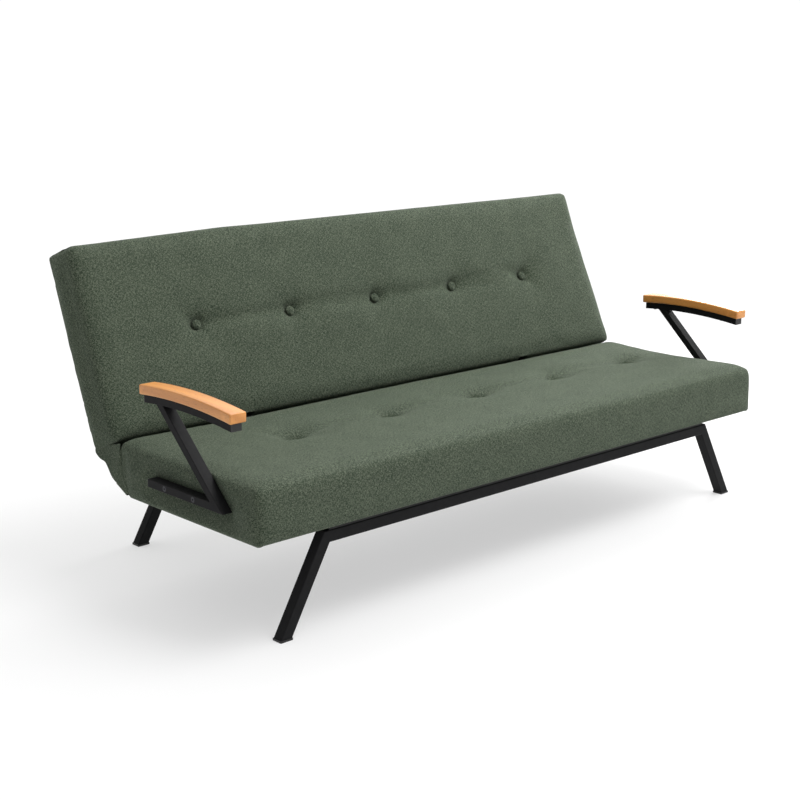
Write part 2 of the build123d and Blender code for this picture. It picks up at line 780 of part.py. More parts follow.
def arm_tube(plane, length):
    """Add a hollow rectangular tube that stands on a plane."""
    with BuildSketch(plane) as section:
        RectangleRounded(arm_tube_width, arm_tube_height, arm_tube_wall)
        Rectangle(
            arm_tube_width - 2 * arm_tube_wall,
            arm_tube_height - 2 * arm_tube_wall,
            mode=Mode.SUBTRACT,
        )
    extrude(section.sketch, amount=length)


def arched_bar(middle_x, width, y_from, y_to, low, high, mode=Mode.ADD):
    """Add or cut a bar that follows the armrest's arch between two heights above it."""
    y_middle = (y_from + y_to) / 2
    with BuildSketch(Plane.YZ.offset(middle_x)) as profile:
        with BuildLine():
            ThreePointArc(*[(y, arch_z(y, low)) for y in (y_from, y_middle, y_to)])
            ThreePointArc(*[(y, arch_z(y, high)) for y in (y_from, y_middle, y_to)])
            for y in (y_from, y_to):
                Line((y, arch_z(y, low)), (y, arch_z(y, high)))
        make_face()
    extrude(profile.sketch, amount=width / 2, both=True, mode=mode)


def screw_base_z(y):
    """Height just under the top bar at a screw, clear of its curved underside."""
    edges_z = [arch_z(y + i * armrest_screw, -arm_tube_height) for i in (-1, 1)]
    return min(edges_z) - pin_gap


for side_name, side in SIDES.items():
    x = side * arm_centre_x

    with BuildPart() as arm_base_bar:
        rear_end = Plane(
            origin=(x, front_y + arm_bar_rear, arm_bar_z), x_dir=(1, 0, 0), z_dir=(0, -1, 0)
        )
        arm_tube(rear_end, arm_bar_rear)
        split(bisect_by=arm_mitre(x), keep=Keep.BOTTOM)
        bolt_start = Plane.YZ.offset(x - arm_tube_width)
        hole_radius = bolt_diameter / 2 + bolt_gap
        rod(bolt_start, hole_radius, 2 * arm_tube_width, arm_bolts_at, Mode.SUBTRACT)
        head_start = Plane.YZ.offset(x + side * arm_tube_width / 2)
        head_hole = arm_bolt_head / 2 + bolt_gap
        rod(head_start, head_hole, -side * 2 * arm_tube_wall, arm_bolts_at, Mode.SUBTRACT)
    save(arm_base_bar.part, f"{side_name}_arm_base_bar")

    with BuildPart() as arm_strut:
        foot = Plane(
            origin=(x, arm_corner_y, arm_bar_z),
            x_dir=(1, 0, 0),
            z_dir=(0, cos(strut_angle), sin(strut_angle)),
        )
        arm_tube(foot.offset(-2 * strut_cut_half), 2 * strut_rise / sin(strut_angle))
        split(bisect_by=arm_mitre(x), keep=Keep.TOP)
        cut_from_z = arch_z(strut_cut_from, -arm_tube_height - pin_gap)
        cut_to_z = arch_z(strut_cut_to, -arm_tube_height - pin_gap)
        top_cut = Plane(
            origin=(x, strut_cut_from, cut_from_z),
            x_dir=(1, 0, 0),
            z_dir=(0, cut_from_z - cut_to_z, strut_cut_to - strut_cut_from),
        )
        split(bisect_by=top_cut, keep=Keep.BOTTOM)
    save(arm_strut.part, f"{side_name}_arm_strut")

    with BuildPart() as arm_top_bar:
        arched_bar(x, arm_tube_width, arm_top_front, arm_top_rear, -arm_tube_height, 0)
        arched_bar(
            x,
            arm_tube_width - 2 * arm_tube_wall,
            arm_top_front,
            arm_top_rear,
            arm_tube_wall - arm_tube_height,
            -arm_tube_wall,
            Mode.SUBTRACT,
        )
        screws_at = [(x, y) for y in armrest_screws_y]
        hole_start = Plane.XY.offset(arm_bar_z)
        rod(hole_start, armrest_screw / 2 + bolt_gap, seat_top, screws_at, Mode.SUBTRACT)
    save(arm_top_bar.part, f"{side_name}_arm_top_bar")

    with BuildPart() as armrest:
        armrest_from = front_y + armrest_front
        armrest_to = front_y + armrest_rear
        arched_bar(x, armrest_width, armrest_from, armrest_to, 0, armrest_thickness)
        fillet(armrest.edges(), armrest_edge)
        for y in armrest_screws_y:
            hole_start = Plane.XY.offset(screw_base_z(y))
            hole_depth = arm_tube_height + armrest_thickness / 2 + bolt_gap
            rod(hole_start, armrest_screw / 2 + bolt_gap, hole_depth, [(x, y)], Mode.SUBTRACT)
    save(armrest.part, f"{side_name}_armrest")

arm_outer_x = arm_inner_x + arm_tube_width
arm_bolt_length = arm_outer_x - frame_half_length + timber
with BuildPart() as arm_bolts:
    for side in SIDES.values():
        start = Plane.YZ.offset(side * arm_outer_x)
        rod(start, bolt_diameter / 2, -side * arm_bolt_length, arm_bolts_at)
        rod(start, arm_bolt_head / 2, -side * bolt_head_height, arm_bolts_at)
        with BuildSketch(start):
            with Locations(*arm_bolts_at):
                RegularPolygon(bolt_diameter / 3, 6)
        extrude(amount=-side * bolt_head_height / 2, mode=Mode.SUBTRACT)
save(arm_bolts.part, "arm_bolts")

with BuildPart() as armrest_screws:
    for side in SIDES.values():
        for y in armrest_screws_y:
            start = Plane.XY.offset(screw_base_z(y))
            place = [(side * arm_centre_x, y)]
            rod(start, armrest_screw / 2, arm_tube_height + armrest_thickness / 2, place)
            rod(start, armrest_screw, -head_thickness, place)
save(armrest_screws.part, "armrest_screws")

with BuildPart() as arm_end_caps:
    for side in SIDES.values():
        x = side * arm_centre_x
        bar_end = Plane(
            origin=(x, front_y + arm_bar_rear, arm_bar_z), x_dir=(1, 0, 0), z_dir=(0, -1, 0)
        )
        block(bar_end, arm_tube_width, arm_tube_height, -arm_tube_wall)
        arched_bar(
            x, arm_tube_width, arm_top_front - arm_tube_wall, arm_top_front, -arm_tube_height, 0
        )
        arched_bar(
            x, arm_tube_width, arm_top_rear, arm_top_rear + arm_tube_wall, -arm_tube_height, 0
        )
save(arm_end_caps.part, "arm_end_caps")
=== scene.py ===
"""Looks of the click-clack sofa bed: fabric pads, covered buttons, gusset, steel and beech."""

import json
from math import cos, pi, radians, sin

import bmesh
import bpy
import numpy as np
from mathutils import Matrix, Vector, noise
from mathutils.bvhtree import BVHTree


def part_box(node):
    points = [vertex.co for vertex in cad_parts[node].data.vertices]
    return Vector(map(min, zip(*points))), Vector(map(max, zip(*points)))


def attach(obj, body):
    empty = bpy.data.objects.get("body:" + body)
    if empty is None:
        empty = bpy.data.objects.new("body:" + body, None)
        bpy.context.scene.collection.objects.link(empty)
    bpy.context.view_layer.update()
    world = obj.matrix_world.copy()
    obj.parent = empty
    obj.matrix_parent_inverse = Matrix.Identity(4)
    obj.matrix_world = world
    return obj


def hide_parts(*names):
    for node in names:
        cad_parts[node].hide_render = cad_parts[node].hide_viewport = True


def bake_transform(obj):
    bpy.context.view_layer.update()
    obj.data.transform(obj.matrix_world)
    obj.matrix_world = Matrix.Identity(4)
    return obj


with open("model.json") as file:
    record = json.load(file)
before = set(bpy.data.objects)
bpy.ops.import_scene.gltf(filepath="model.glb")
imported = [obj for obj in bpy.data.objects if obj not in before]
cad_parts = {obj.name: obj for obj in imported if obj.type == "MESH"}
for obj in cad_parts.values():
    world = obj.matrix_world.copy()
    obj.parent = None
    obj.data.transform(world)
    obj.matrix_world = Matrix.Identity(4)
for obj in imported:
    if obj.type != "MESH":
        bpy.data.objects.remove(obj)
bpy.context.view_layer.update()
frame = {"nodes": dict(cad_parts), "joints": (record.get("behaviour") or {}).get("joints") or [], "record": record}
scene = bpy.context.scene

# ---------------------------------------------------------------------------------------------
# Places, in metres, read from the frame
# ---------------------------------------------------------------------------------------------

joints = {joint["name"]: joint for joint in frame["joints"]}
PIVOT = Vector(joints["back_recline"]["pos_m"])
LEAN = pi / 2 - radians(joints["back_recline"]["range_deg"][1])

SEAT_LOW, SEAT_HIGH = (Vector(corner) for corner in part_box("seat_pad"))
BAR_LOW, BAR_HIGH = (Vector(corner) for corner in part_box("left_arm_base_bar"))
ARM_INNER = -BAR_HIGH.x
CREASE = Vector((0, PIVOT.y - (SEAT_HIGH.z - PIVOT.z) * np.tan((pi / 2 - LEAN) / 2), SEAT_HIGH.z))

# The back's own frame: X along the sofa, Y up its face, Z out of its face.
BACK_FRAME = Matrix.Translation(CREASE) @ Matrix.Rotation(pi / 2 - LEAN, 4, "X")
SEAT_FRAME = Matrix.Translation(Vector((0, SEAT_LOW.y, SEAT_HIGH.z)))


def span_in(local_frame, node):
    """Lowest and highest corner of a node in the axes of a pad."""
    corners = frame["nodes"][node].data.vertices
    inverse = local_frame.inverted()
    places = np.array([inverse @ v.co for v in corners])
    return places.min(0), places.max(0)


def button_row(local_frame, node, count=5):
    """Centres of a row of buttons in the axes of its pad."""
    low, high = span_in(local_frame, node)
    radius = (high[1] - low[1]) / 2
    return [
        (low[0] + radius + (high[0] - low[0] - 2 * radius) * i / (count - 1), low[1] + radius)
        for i in range(count)
    ]


# ---------------------------------------------------------------------------------------------
# Material helpers
# ---------------------------------------------------------------------------------------------


def new_group(name, inputs, outputs):
    """An empty shader node group with named sockets: {name: (type, default)}."""
    group = bpy.data.node_groups.new(name, "ShaderNodeTree")
    for socket, (kind, default) in inputs.items():
        item = group.interface.new_socket(socket, in_out="INPUT", socket_type=kind)
        if default is not None:
            item.default_value = default
    for socket, kind in outputs.items():
        group.interface.new_socket(socket, in_out="OUTPUT", socket_type=kind)
    return group, group.nodes.new("NodeGroupInput"), group.nodes.new("NodeGroupOutput")


class Wiring:
    """Short ways to add and join nodes in one tree."""

    def __init__(self, tree):
        self.tree = tree

    def node(self, kind, **settings):
        item = self.tree.nodes.new(kind)
        for name, value in settings.items():
            setattr(item, name, value)
        return item

    def join(self, source, target):
        self.tree.links.new(source, target)

    def feed(self, socket, value):
        if isinstance(value, bpy.types.NodeSocket):
            self.join(value, socket)
        elif value is not None:
            socket.default_value = value

    def math(self, operation, a, b=None, c=None):
        item = self.node("ShaderNodeMath", operation=operation)
        for socket, value in zip(item.inputs, (a, b, c)):
            self.feed(socket, value)
        return item.outputs[0]

    def vector(self, operation, a, b=None):
        item = self.node("ShaderNodeVectorMath", operation=operation)
        self.feed(item.inputs[0], a)
        self.feed(item.inputs[1], b)
        return item.outputs[0]

    def noise(self, vector, scale, detail=2.0, roughness=0.5):
        item = self.node("ShaderNodeTexNoise")
        self.feed(item.inputs["Vector"], vector)
        self.feed(item.inputs["Scale"], scale)
        item.inputs["Detail"].default_value = detail
        item.inputs["Roughness"].default_value = roughness
        return item.outputs["Fac"]

    def ramp(self, value, low, high):
        item = self.node("ShaderNodeMapRange", clamp=True)
        self.feed(item.inputs["Value"], value)
        item.inputs["From Min"].default_value = low
        item.inputs["From Max"].default_value = high
        return item.outputs["Result"]

    def mix(self, factor, a, b, blend="MIX"):
        item = self.node("ShaderNodeMix", data_type="RGBA", blend_type=blend)
        self.feed(item.inputs["Factor"], factor)
        self.feed(item.inputs["A"], a)
        self.feed(item.inputs["B"], b)
        return item.outputs["Result"]

    def combine(self, x, y, z=0.0):
        item = self.node("ShaderNodeCombineXYZ")
        for socket, value in zip(item.inputs, (x, y, z)):
            self.feed(socket, value)
        return item.outputs[0]

    def split(self, vector):
        item = self.node("ShaderNodeSeparateXYZ")
        self.feed(item.inputs[0], vector)
        return item.outputs

    def group(self, group, **inputs):
        item = self.node("ShaderNodeGroup", node_tree=group)
        for name, value in inputs.items():
            self.feed(item.inputs[name.replace("_", " ")], value)
        return item.outputs


def finish_material(name, build, **principled):
    """A Principled material; build(wiring, shader) joins what changes over the surface."""
    material = bpy.data.materials.new(name)
    material.use_nodes = True
    tree = material.node_tree
    shader = tree.nodes["Principled BSDF"]
    for socket, value in principled.items():
        shader.inputs[socket.replace("_", " ")].default_value = value
    build(Wiring(tree), shader)
    return material


def bump(w, shader, height, distance, strength=1.0):
    """Feed a height into the shader's normal."""
    item = w.node("ShaderNodeBump")
    item.inputs["Distance"].default_value = distance
    item.inputs["Strength"].default_value = strength
    w.feed(item.inputs["Height"], height)
    w.join(item.outputs["Normal"], shader.inputs["Normal"])


# ---------------------------------------------------------------------------------------------
# Shared effects
# ---------------------------------------------------------------------------------------------


SLUB_ALONG = (150.0, 900.0, 150.0)
SLUB_UP = (900.0, 150.0, 150.0)
DARK_FLECK = (0.450, 0.370)
LIGHT_FLECK = (0.560, 0.640)


def make_melange_weave():
    """Plain weave of mottled yarns: a colour, with painted shade in the hollows between yarns, and a height over a
    flat cloth position in metres.
    """
    group, inp, out = new_group(
        "melange_weave",
        {
            "Position": ("NodeSocketVector", None),
            "Yarn pitch": ("NodeSocketFloat", 0.0016),
            "Dark": ("NodeSocketColor", (0.03, 0.05, 0.03, 1)),
            "Middle": ("NodeSocketColor", (0.08, 0.11, 0.08, 1)),
            "Light": ("NodeSocketColor", (0.2, 0.24, 0.19, 1)),
        },
        {"Color": "NodeSocketColor", "Height": "NodeSocketFloat"},
    )
    w = Wiring(group)
    scaled = w.node("ShaderNodeVectorMath", operation="DIVIDE")
    w.join(inp.outputs["Position"], scaled.inputs[0])
    pitch = w.combine(inp.outputs["Yarn pitch"], inp.outputs["Yarn pitch"], 1.0)
    w.join(pitch, scaled.inputs[1])
    wander = w.noise(inp.outputs["Position"], 60.0, 1.0)
    u, v, _ = w.split(scaled.outputs[0])
    u = w.math("ADD", u, w.math("MULTIPLY", wander, 1.5))
    v = w.math("ADD", v, w.math("MULTIPLY", wander, -1.5))
    column, row = w.math("FLOOR", u), w.math("FLOOR", v)
    over = w.math("PINGPONG", w.math("ADD", column, row), 1.0)
    warp_round = w.math("ABSOLUTE", w.math("SINE", w.math("MULTIPLY", u, pi)))
    weft_round = w.math("ABSOLUTE", w.math("SINE", w.math("MULTIPLY", v, pi)))
    warp_tone = w.noise(w.combine(w.math("MULTIPLY", column, 7.3), w.math("MULTIPLY", v, 0.22)), 1.0)
    weft_tone = w.noise(w.combine(w.math("MULTIPLY", u, 0.22), w.math("MULTIPLY", row, 5.7)), 1.0)
    tone = w.node("ShaderNodeMix", data_type="FLOAT")
    height = w.node("ShaderNodeMix", data_type="FLOAT")
    for item, low, high in ((tone, weft_tone, warp_tone), (height, weft_round, warp_round)):
        w.join(over, item.inputs["Factor"])
        w.join(low, item.inputs["A"])
        w.join(high, item.inputs["B"])
    tone, height = tone.outputs["Result"], height.outputs["Result"]
    slub_along = w.noise(w.vector("MULTIPLY", inp.outputs["Position"], SLUB_ALONG), 1.0, 1.0)
    slub_up = w.noise(w.vector("MULTIPLY", inp.outputs["Position"], SLUB_UP), 1.0, 1.0)
    slub = w.math("MULTIPLY", w.math("ADD", slub_along, slub_up), 0.5)
    patch = w.math("MULTIPLY", w.math("SUBTRACT", w.noise(inp.outputs["Position"], 14.0, 1.0), 0.5), 0.06)
    thread = w.math("ADD", w.math("MULTIPLY", w.math("SUBTRACT", tone, 0.5), 0.35), patch)
    palest = w.math("ADD", w.math("MAXIMUM", slub_along, slub_up), thread)
    darkest = w.math("ADD", w.math("MINIMUM", slub_along, slub_up), thread)
    dark_part = w.ramp(darkest, *DARK_FLECK)
    light_part = w.ramp(palest, *LIGHT_FLECK)
    color = w.mix(dark_part, inp.outputs["Middle"], inp.outputs["Dark"])
    color = w.mix(light_part, color, inp.outputs["Light"])
    # painted shade: the colour darkens by up to 40 % in the hollows between the yarns
    between = w.ramp(height, 0.0, 0.75)
    shade = w.math("ADD", w.math("MULTIPLY", between, 0.4), 0.6)
    w.join(w.mix(1.0, color, w.combine(shade, shade, shade), "MULTIPLY"), out.inputs["Color"])
    w.join(w.math("ADD", height, w.math("MULTIPLY", slub, 0.3)), out.inputs["Height"])
    return group


def make_pale_edges():
    """A broken mask over the sharp convex edges, where the colour is made paler."""
    group, inp, out = new_group(
        "pale_edges",
        {"Position": ("NodeSocketVector", None), "Amount": ("NodeSocketFloat", 0.5)},
        {"Mask": "NodeSocketFloat"},
    )
    w = Wiring(group)
    sharp = w.ramp(w.node("ShaderNodeNewGeometry").outputs["Pointiness"], 0.505, 0.56)
    broken = w.ramp(w.noise(inp.outputs["Position"], 55.0, 4.0), 0.42, 0.62)
    mask = w.math("MULTIPLY", w.math("MULTIPLY", sharp, broken), inp.outputs["Amount"])
    w.join(mask, out.inputs["Mask"])
    return group


def make_wood_grain():
    """Colour and height of planed wood with its grain along Y."""
    group, inp, out = new_group(
        "wood_grain",
        {
            "Position": ("NodeSocketVector", None),
            "Pale": ("NodeSocketColor", (0.7, 0.4, 0.2, 1)),
            "Deep": ("NodeSocketColor", (0.4, 0.2, 0.08, 1)),
            "Fleck": ("NodeSocketColor", (0.25, 0.12, 0.05, 1)),
            "Ring scale": ("NodeSocketFloat", 1.0),
        },
        {"Color": "NodeSocketColor", "Height": "NodeSocketFloat"},
    )
    w = Wiring(group)
    stretched = w.vector("MULTIPLY", inp.outputs["Position"], (1.0, 0.06, 1.0))
    warp = w.noise(stretched, 14.0, 2.0)
    x, _, z = w.split(inp.outputs["Position"])
    across = w.math("ADD", w.math("MULTIPLY", x, 90.0), w.math("MULTIPLY", z, 130.0))
    bent = w.math("ADD", across, w.math("MULTIPLY", warp, 9.0))
    rings = w.math("MULTIPLY", bent, inp.outputs["Ring scale"])
    rings = w.math("ADD", w.math("MULTIPLY", w.math("SINE", rings), 0.5), 0.5)
    fibre = w.noise(w.vector("MULTIPLY", inp.outputs["Position"], (1.0, 0.03, 1.0)), 900.0, 3.0)
    fleck = w.noise(w.vector("MULTIPLY", inp.outputs["Position"], (1.0, 0.12, 1.0)), 700.0, 1.0)
    deep = w.math("ADD", w.math("MULTIPLY", rings, 0.45), w.math("MULTIPLY", fibre, 0.4))
    color = w.mix(deep, inp.outputs["Pale"], inp.outputs["Deep"])
    color = w.mix(w.math("MULTIPLY", w.ramp(fleck, 0.62, 0.74), 0.55), color, inp.outputs["Fleck"])
    w.join(color, out.inputs["Color"])
    w.join(w.math("ADD", fibre, w.math("MULTIPLY", rings, 0.3)), out.inputs["Height"])
    return group


weave_group = make_melange_weave()
pale_edge_group = make_pale_edges()
grain_group = make_wood_grain()

# ---------------------------------------------------------------------------------------------
# Materials
# ---------------------------------------------------------------------------------------------

FABRIC_DARK = (0.021, 0.033, 0.021, 1)
FABRIC_MIDDLE = (0.058, 0.077, 0.050, 1)
FABRIC_LIGHT = (0.143, 0.168, 0.118, 1)
FABRIC_TONES = (FABRIC_DARK, FABRIC_MIDDLE, FABRIC_LIGHT)


def fabric(name, position, pitch=0.0017, tones=FABRIC_TONES, upright=False):
    """Woven melange upholstery, on a UV map or on object coordinates, laid flat or upright."""

    def build(w, shader):
        coordinates = w.node("ShaderNodeTexCoord").outputs[position]
        if upright:
            x, y, z = w.split(coordinates)
            coordinates = w.combine(x, z, y)
        cloth = w.group(
            weave_group,
            Position=coordinates,
            Yarn_pitch=pitch,
            Dark=tones[0],
            Middle=tones[1],
            Light=tones[2],
        )
        w.join(cloth["Color"], shader.inputs["Base Color"])
        bump(w, shader, cloth["Height"], 0.0005, 0.7)

    return finish_material(
        name,
        build,
        Roughness=0.92,
        Sheen_Weight=0.15,
        Sheen_Roughness=0.45,
        Sheen_Tint=(0.62, 0.72, 0.58, 1),
        Specular_IOR_Level=0.2,
    )


def powder_coat(name, tone=0.012, roughness=0.5):
    """Black powder coat with a fine orange-peel and a painted highlight: its sharp edges are made slightly paler.
    """

    def build(w, shader):
        position = w.node("ShaderNodeTexCoord").outputs["Object"]
        # painted highlight: the sharp edges of the tubes are made slightly paler
        pale_edge = w.group(pale_edge_group, Position=position, Amount=0.06)["Mask"]
        color = w.mix(pale_edge, (tone, tone, tone * 1.05, 1), (0.045, 0.045, 0.047, 1))
        w.join(color, shader.inputs["Base Color"])
        cloud = w.noise(position, 18.0, 3.0)
        rough = w.math("ADD", w.math("MULTIPLY", cloud, 0.03), roughness - 0.015)
        w.join(rough, shader.inputs["Roughness"])
        bump(w, shader, w.noise(position, 1400.0, 1.0), 0.00005, 0.3)

    return finish_material(name, build, Metallic=0.0, Specular_IOR_Level=0.06)


def lacquered_wood(name, pale, deep, fleck, coat=0.25, ring=1.0):
    """Wood with its grain along Y under a thin lacquer."""

    def build(w, shader):
        position = w.node("ShaderNodeTexCoord").outputs["Object"]
        grain = w.group(
            grain_group, Position=position, Pale=pale, Deep=deep, Fleck=fleck, Ring_scale=ring
        )
        pale_edge = w.group(pale_edge_group, Position=position, Amount=0.3)["Mask"]
        color = w.mix(pale_edge, grain["Color"], tuple(min(1, c * 1.25) for c in pale[:3]) + (1,))
        w.join(color, shader.inputs["Base Color"])
        rough = w.math("ADD", w.math("MULTIPLY", grain["Height"], 0.14), 0.36)
        w.join(rough, shader.inputs["Roughness"])
        bump(w, shader, grain["Height"], 0.00015, 0.4)

    return finish_material(name, build, Coat_Weight=coat, Coat_Roughness=0.25)


def metal(name, color, roughness=0.34):
    """Bare or plated steel with faint brushing."""

    def build(w, shader):
        position = w.node("ShaderNodeTexCoord").outputs["Object"]
        brushed = w.noise(w.vector("MULTIPLY", position, (0.05, 1.0, 1.0)), 1400.0, 2.0)
        cloud = w.noise(position, 40.0, 3.0)
        tint = w.mix(w.math("MULTIPLY", cloud, 0.5), color, tuple(c * 0.6 for c in color[:3]) + (1,))
        w.join(tint, shader.inputs["Base Color"])
        rough = w.math("ADD", w.math("MULTIPLY", brushed, 0.2), roughness - 0.1)
        w.join(rough, shader.inputs["Roughness"])
        bump(w, shader, brushed, 0.00005, 0.5)

    return finish_material(name, build, Metallic=1.0)


def moulded(name, tone, roughness, grain_scale=1500.0):
    """Moulded plastic or rubber with a fine spark grain."""

    def build(w, shader):
        position = w.node("ShaderNodeTexCoord").outputs["Object"]
        dust = w.ramp(w.noise(position, 30.0, 4.0), 0.45, 0.75)
        color = w.mix(w.math("MULTIPLY", dust, 0.25), tone, (0.06, 0.06, 0.058, 1))
        w.join(color, shader.inputs["Base Color"])
        speckle = w.noise(position, grain_scale, 1.0)
        rough = w.math("ADD", w.math("MULTIPLY", speckle, 0.12), roughness - 0.06)
        w.join(rough, shader.inputs["Roughness"])
        bump(w, shader, speckle, 0.00008, 0.6)

    return finish_material(name, build)


def thin_cloth(name, tone, light, pitch):
    """Non-woven or jute cloth: crossed fibres on object coordinates."""

    def build(w, shader):
        position = w.node("ShaderNodeTexCoord").outputs["Object"]
        x, y, z = w.split(position)
        along = w.math("ADD", y, z)
        fibres_x = w.math("SINE", w.math("MULTIPLY", x, 2 * pi / pitch))
        fibres_y = w.math("SINE", w.math("MULTIPLY", along, 2 * pi / pitch))
        crossed = w.math("MULTIPLY", fibres_x, fibres_y)
        cloud = w.noise(position, 120.0, 3.0)
        mask = w.math("ADD", w.math("MULTIPLY", crossed, 0.25), w.math("MULTIPLY", cloud, 0.7))
        w.join(w.mix(w.ramp(mask, 0.1, 0.8), tone, light), shader.inputs["Base Color"])
        bump(w, shader, mask, 0.0003, 0.6)

    return finish_material(name, build, Roughness=0.95, Specular_IOR_Level=0.15)


melange = fabric("green_melange_fabric", "UV")
melange_panel = fabric("green_melange_panel", "Object", upright=True)
melange_button = fabric("green_melange_button", "Object", 0.0013)
melange_seam = fabric(
    "green_melange_seam", "Object", 0.0011, (FABRIC_DARK, (0.045, 0.060, 0.040, 1), FABRIC_MIDDLE)
)
black_coat = powder_coat("black_powder_coat")
hinge_coat = powder_coat("hinge_black_coat", 0.015, 0.55)
beech = lacquered_wood(
    "lacquered_beech", (0.740, 0.322, 0.074, 1), (0.480, 0.172, 0.034, 1), (0.250, 0.085, 0.022, 1), 0.3
)
pine = lacquered_wood(
    "sawn_pine", (0.62, 0.43, 0.22, 1), (0.45, 0.27, 0.11, 1), (0.30, 0.16, 0.06, 1), 0.0, 0.6
)
zinc = metal("zinc_plated_steel", (0.62, 0.62, 0.64, 1))
black_oxide = metal("black_oxide_steel", (0.05, 0.05, 0.055, 1), 0.4)
spring_steel = metal("oiled_spring_steel", (0.30, 0.30, 0.32, 1), 0.3)
black_plastic = moulded("black_moulded_plastic", (0.012, 0.012, 0.012, 1), 0.5)
black_rubber = moulded("black_rubber", (0.016, 0.016, 0.016, 1), 0.75, 900.0)
dust_cloth = thin_cloth("black_dust_cloth", (0.006, 0.006, 0.006, 1), (0.028, 0.028, 0.028, 1), 0.003)
jute = thin_cloth("jute_webbing", (0.28, 0.19, 0.10, 1), (0.52, 0.40, 0.25, 1), 0.0035)
staple_wire = metal("staple_wire", (0.55, 0.55, 0.56, 1), 0.28)

SLOT_FINISH = {
    "green_fabric": melange_panel,
    "black_steel": black_coat,
    "beech": beech,
    "pine": pine,
    "zinc_steel": zinc,
    "black_bolt": black_oxide,
    "spring_steel": spring_steel,
    "black_plastic": black_plastic,
    "black_rubber": black_rubber,
    "black_cloth": dust_cloth,
    "webbing": jute,
}


def finish_cad_nodes():
    """Give every carried-over node the finish of its slot, and the hinges their own coat."""
    for part in frame["record"]["subparts"]:
        node = frame["nodes"][part["node"]]
        material = SLOT_FINISH[part["material_slot"]]
        if "hinge" in part["node"] and part["material_slot"] == "black_steel":
            material = hinge_coat
        node.data.materials.clear()
        node.data.materials.append(material)


# ---------------------------------------------------------------------------------------------
# Mesh helpers
# ---------------------------------------------------------------------------------------------


def piece_from(name, mesh, material, body=None):
    """Link a finished mesh as a piece at the origin."""
    mesh.name = name
    mesh.materials.clear()
    mesh.materials.append(material)
    piece = bpy.data.objects.new(name, mesh)
    scene.collection.objects.link(piece)
    if body:
        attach(piece, body)
    return piece


def evaluated_mesh(holder):
    """The mesh of an object with its modifiers applied, after which the holder is removed."""
    bpy.context.view_layer.update()
    graph = bpy.context.evaluated_depsgraph_get()
    mesh = bpy.data.meshes.new_from_object(holder.evaluated_get(graph))
    bpy.data.objects.remove(holder)
    return mesh


def smooth_all(mesh):
    """Shade every face smooth."""
    mesh.polygons.foreach_set("use_smooth", [True] * len(mesh.polygons))
    mesh.update()


def coordinates(mesh):
    """Vertex places as an array."""
    places = np.empty(len(mesh.vertices) * 3)
    mesh.vertices.foreach_get("co", places)
    return places.reshape(-1, 3)


def set_coordinates(mesh, places):
    """Write vertex places back."""
    mesh.vertices.foreach_set("co", places.reshape(-1))
    mesh.update()


def box_uv(mesh, local_frame, offset=0.0):
    """Flat cloth positions in metres for each face, by the pad axis that it faces."""
    turn = local_frame.inverted().to_3x3()
    inverse = local_frame.inverted()
    layer = mesh.uv_layers.new(name="cloth") if not mesh.uv_layers else mesh.uv_layers[0]
    places = coordinates(mesh) @ np.array(turn).T + np.array(inverse.translation)
    uv = np.empty((len(mesh.loops), 2))
    for polygon in mesh.polygons:
        facing = turn @ polygon.normal
        axis = max(range(3), key=lambda i: abs(facing[i]))
        first, second = ((1, 2), (0, 2), (0, 1))[axis]
        for loop in polygon.loop_indices:
            place = places[mesh.loops[loop].vertex_index]
            uv[loop] = place[first] + offset, place[second] + 3.0 * axis
    layer.data.foreach_set("uv", uv.reshape(-1))


def tube_mesh(points, radius, sides=8):
    """A round tube mesh along points."""
    curve = bpy.data.curves.new("path", "CURVE")
    curve.dimensions = "3D"
    curve.bevel_depth = radius
    curve.bevel_resolution = sides // 4
    curve.use_fill_caps = True
    spline = curve.splines.new("POLY")
    spline.points.add(len(points) - 1)
    for target, point in zip(spline.points, points):
        target.co = (*point, 1)
    holder = bpy.data.objects.new("path", curve)
    scene.collection.objects.link(holder)
    mesh = evaluated_mesh(holder)
    smooth_all(mesh)
    return mesh


# ---------------------------------------------------------------------------------------------
# Upholstered pads
# ---------------------------------------------------------------------------------------------

VOXEL = 0.010
PRESS_FRAMES = 20
MOST_SINK = 0.001
MOST_SLIDE = 0.004
FACE_DEPTH = 0.03
BUTTON_HOLD = 0.018
PINCH_REACH = 0.020
WAVE_HEIGHT = 0.0016
ROLL_FRONT = 0.018
ROLL_END = 0.035
ROLL_RISE = 0.10
UNDER_HELD = 0.008
UNDER_CALM = 0.012
UNDER_FLAT = 0.003
WAVE_START = 0.01
WAVE_RAMP = 0.05


def pad_blank(name, outline, half_length, rounds, end_round):
    """Closed block in pad axes: an outline in its YZ plane, run along X, with rounded edges."""
    work = bmesh.new()
    ends = [[work.verts.new((x, y, z)) for y, z in outline] for x in (-half_length, half_length)]
    work.faces.new(ends[0])
    work.faces.new(ends[1][::-1])
    for i in range(len(outline)):
        j = (i + 1) % len(outline)
        work.faces.new((ends[0][j], ends[0][i], ends[1][i], ends[1][j]))
    bmesh.ops.recalc_face_normals(work, faces=work.faces)
    for corner, width in rounds:
        place = Vector(outline[corner])
        edges = [e for e in work.edges if all((v.co.yz - place).length < 1e-6 for v in e.verts)]
        bmesh.ops.bevel(work, geom=edges, offset=width, segments=6, profile=0.5, affect="EDGES")
    floor = min(z for _, z in outline) + 0.02
    rim = [
        e
        for e in work.edges
        if sum(abs(f.normal.x) > 0.9 for f in e.link_faces) == 1
        and max(v.co.z for v in e.verts) > floor
    ]
    bmesh.ops.bevel(
        work, geom=rim, offset=end_round, segments=4, profile=0.5, affect="EDGES", clamp_overlap=True
    )
    mesh = bpy.data.meshes.new(name)
    work.to_mesh(mesh)
    work.free()
    return mesh


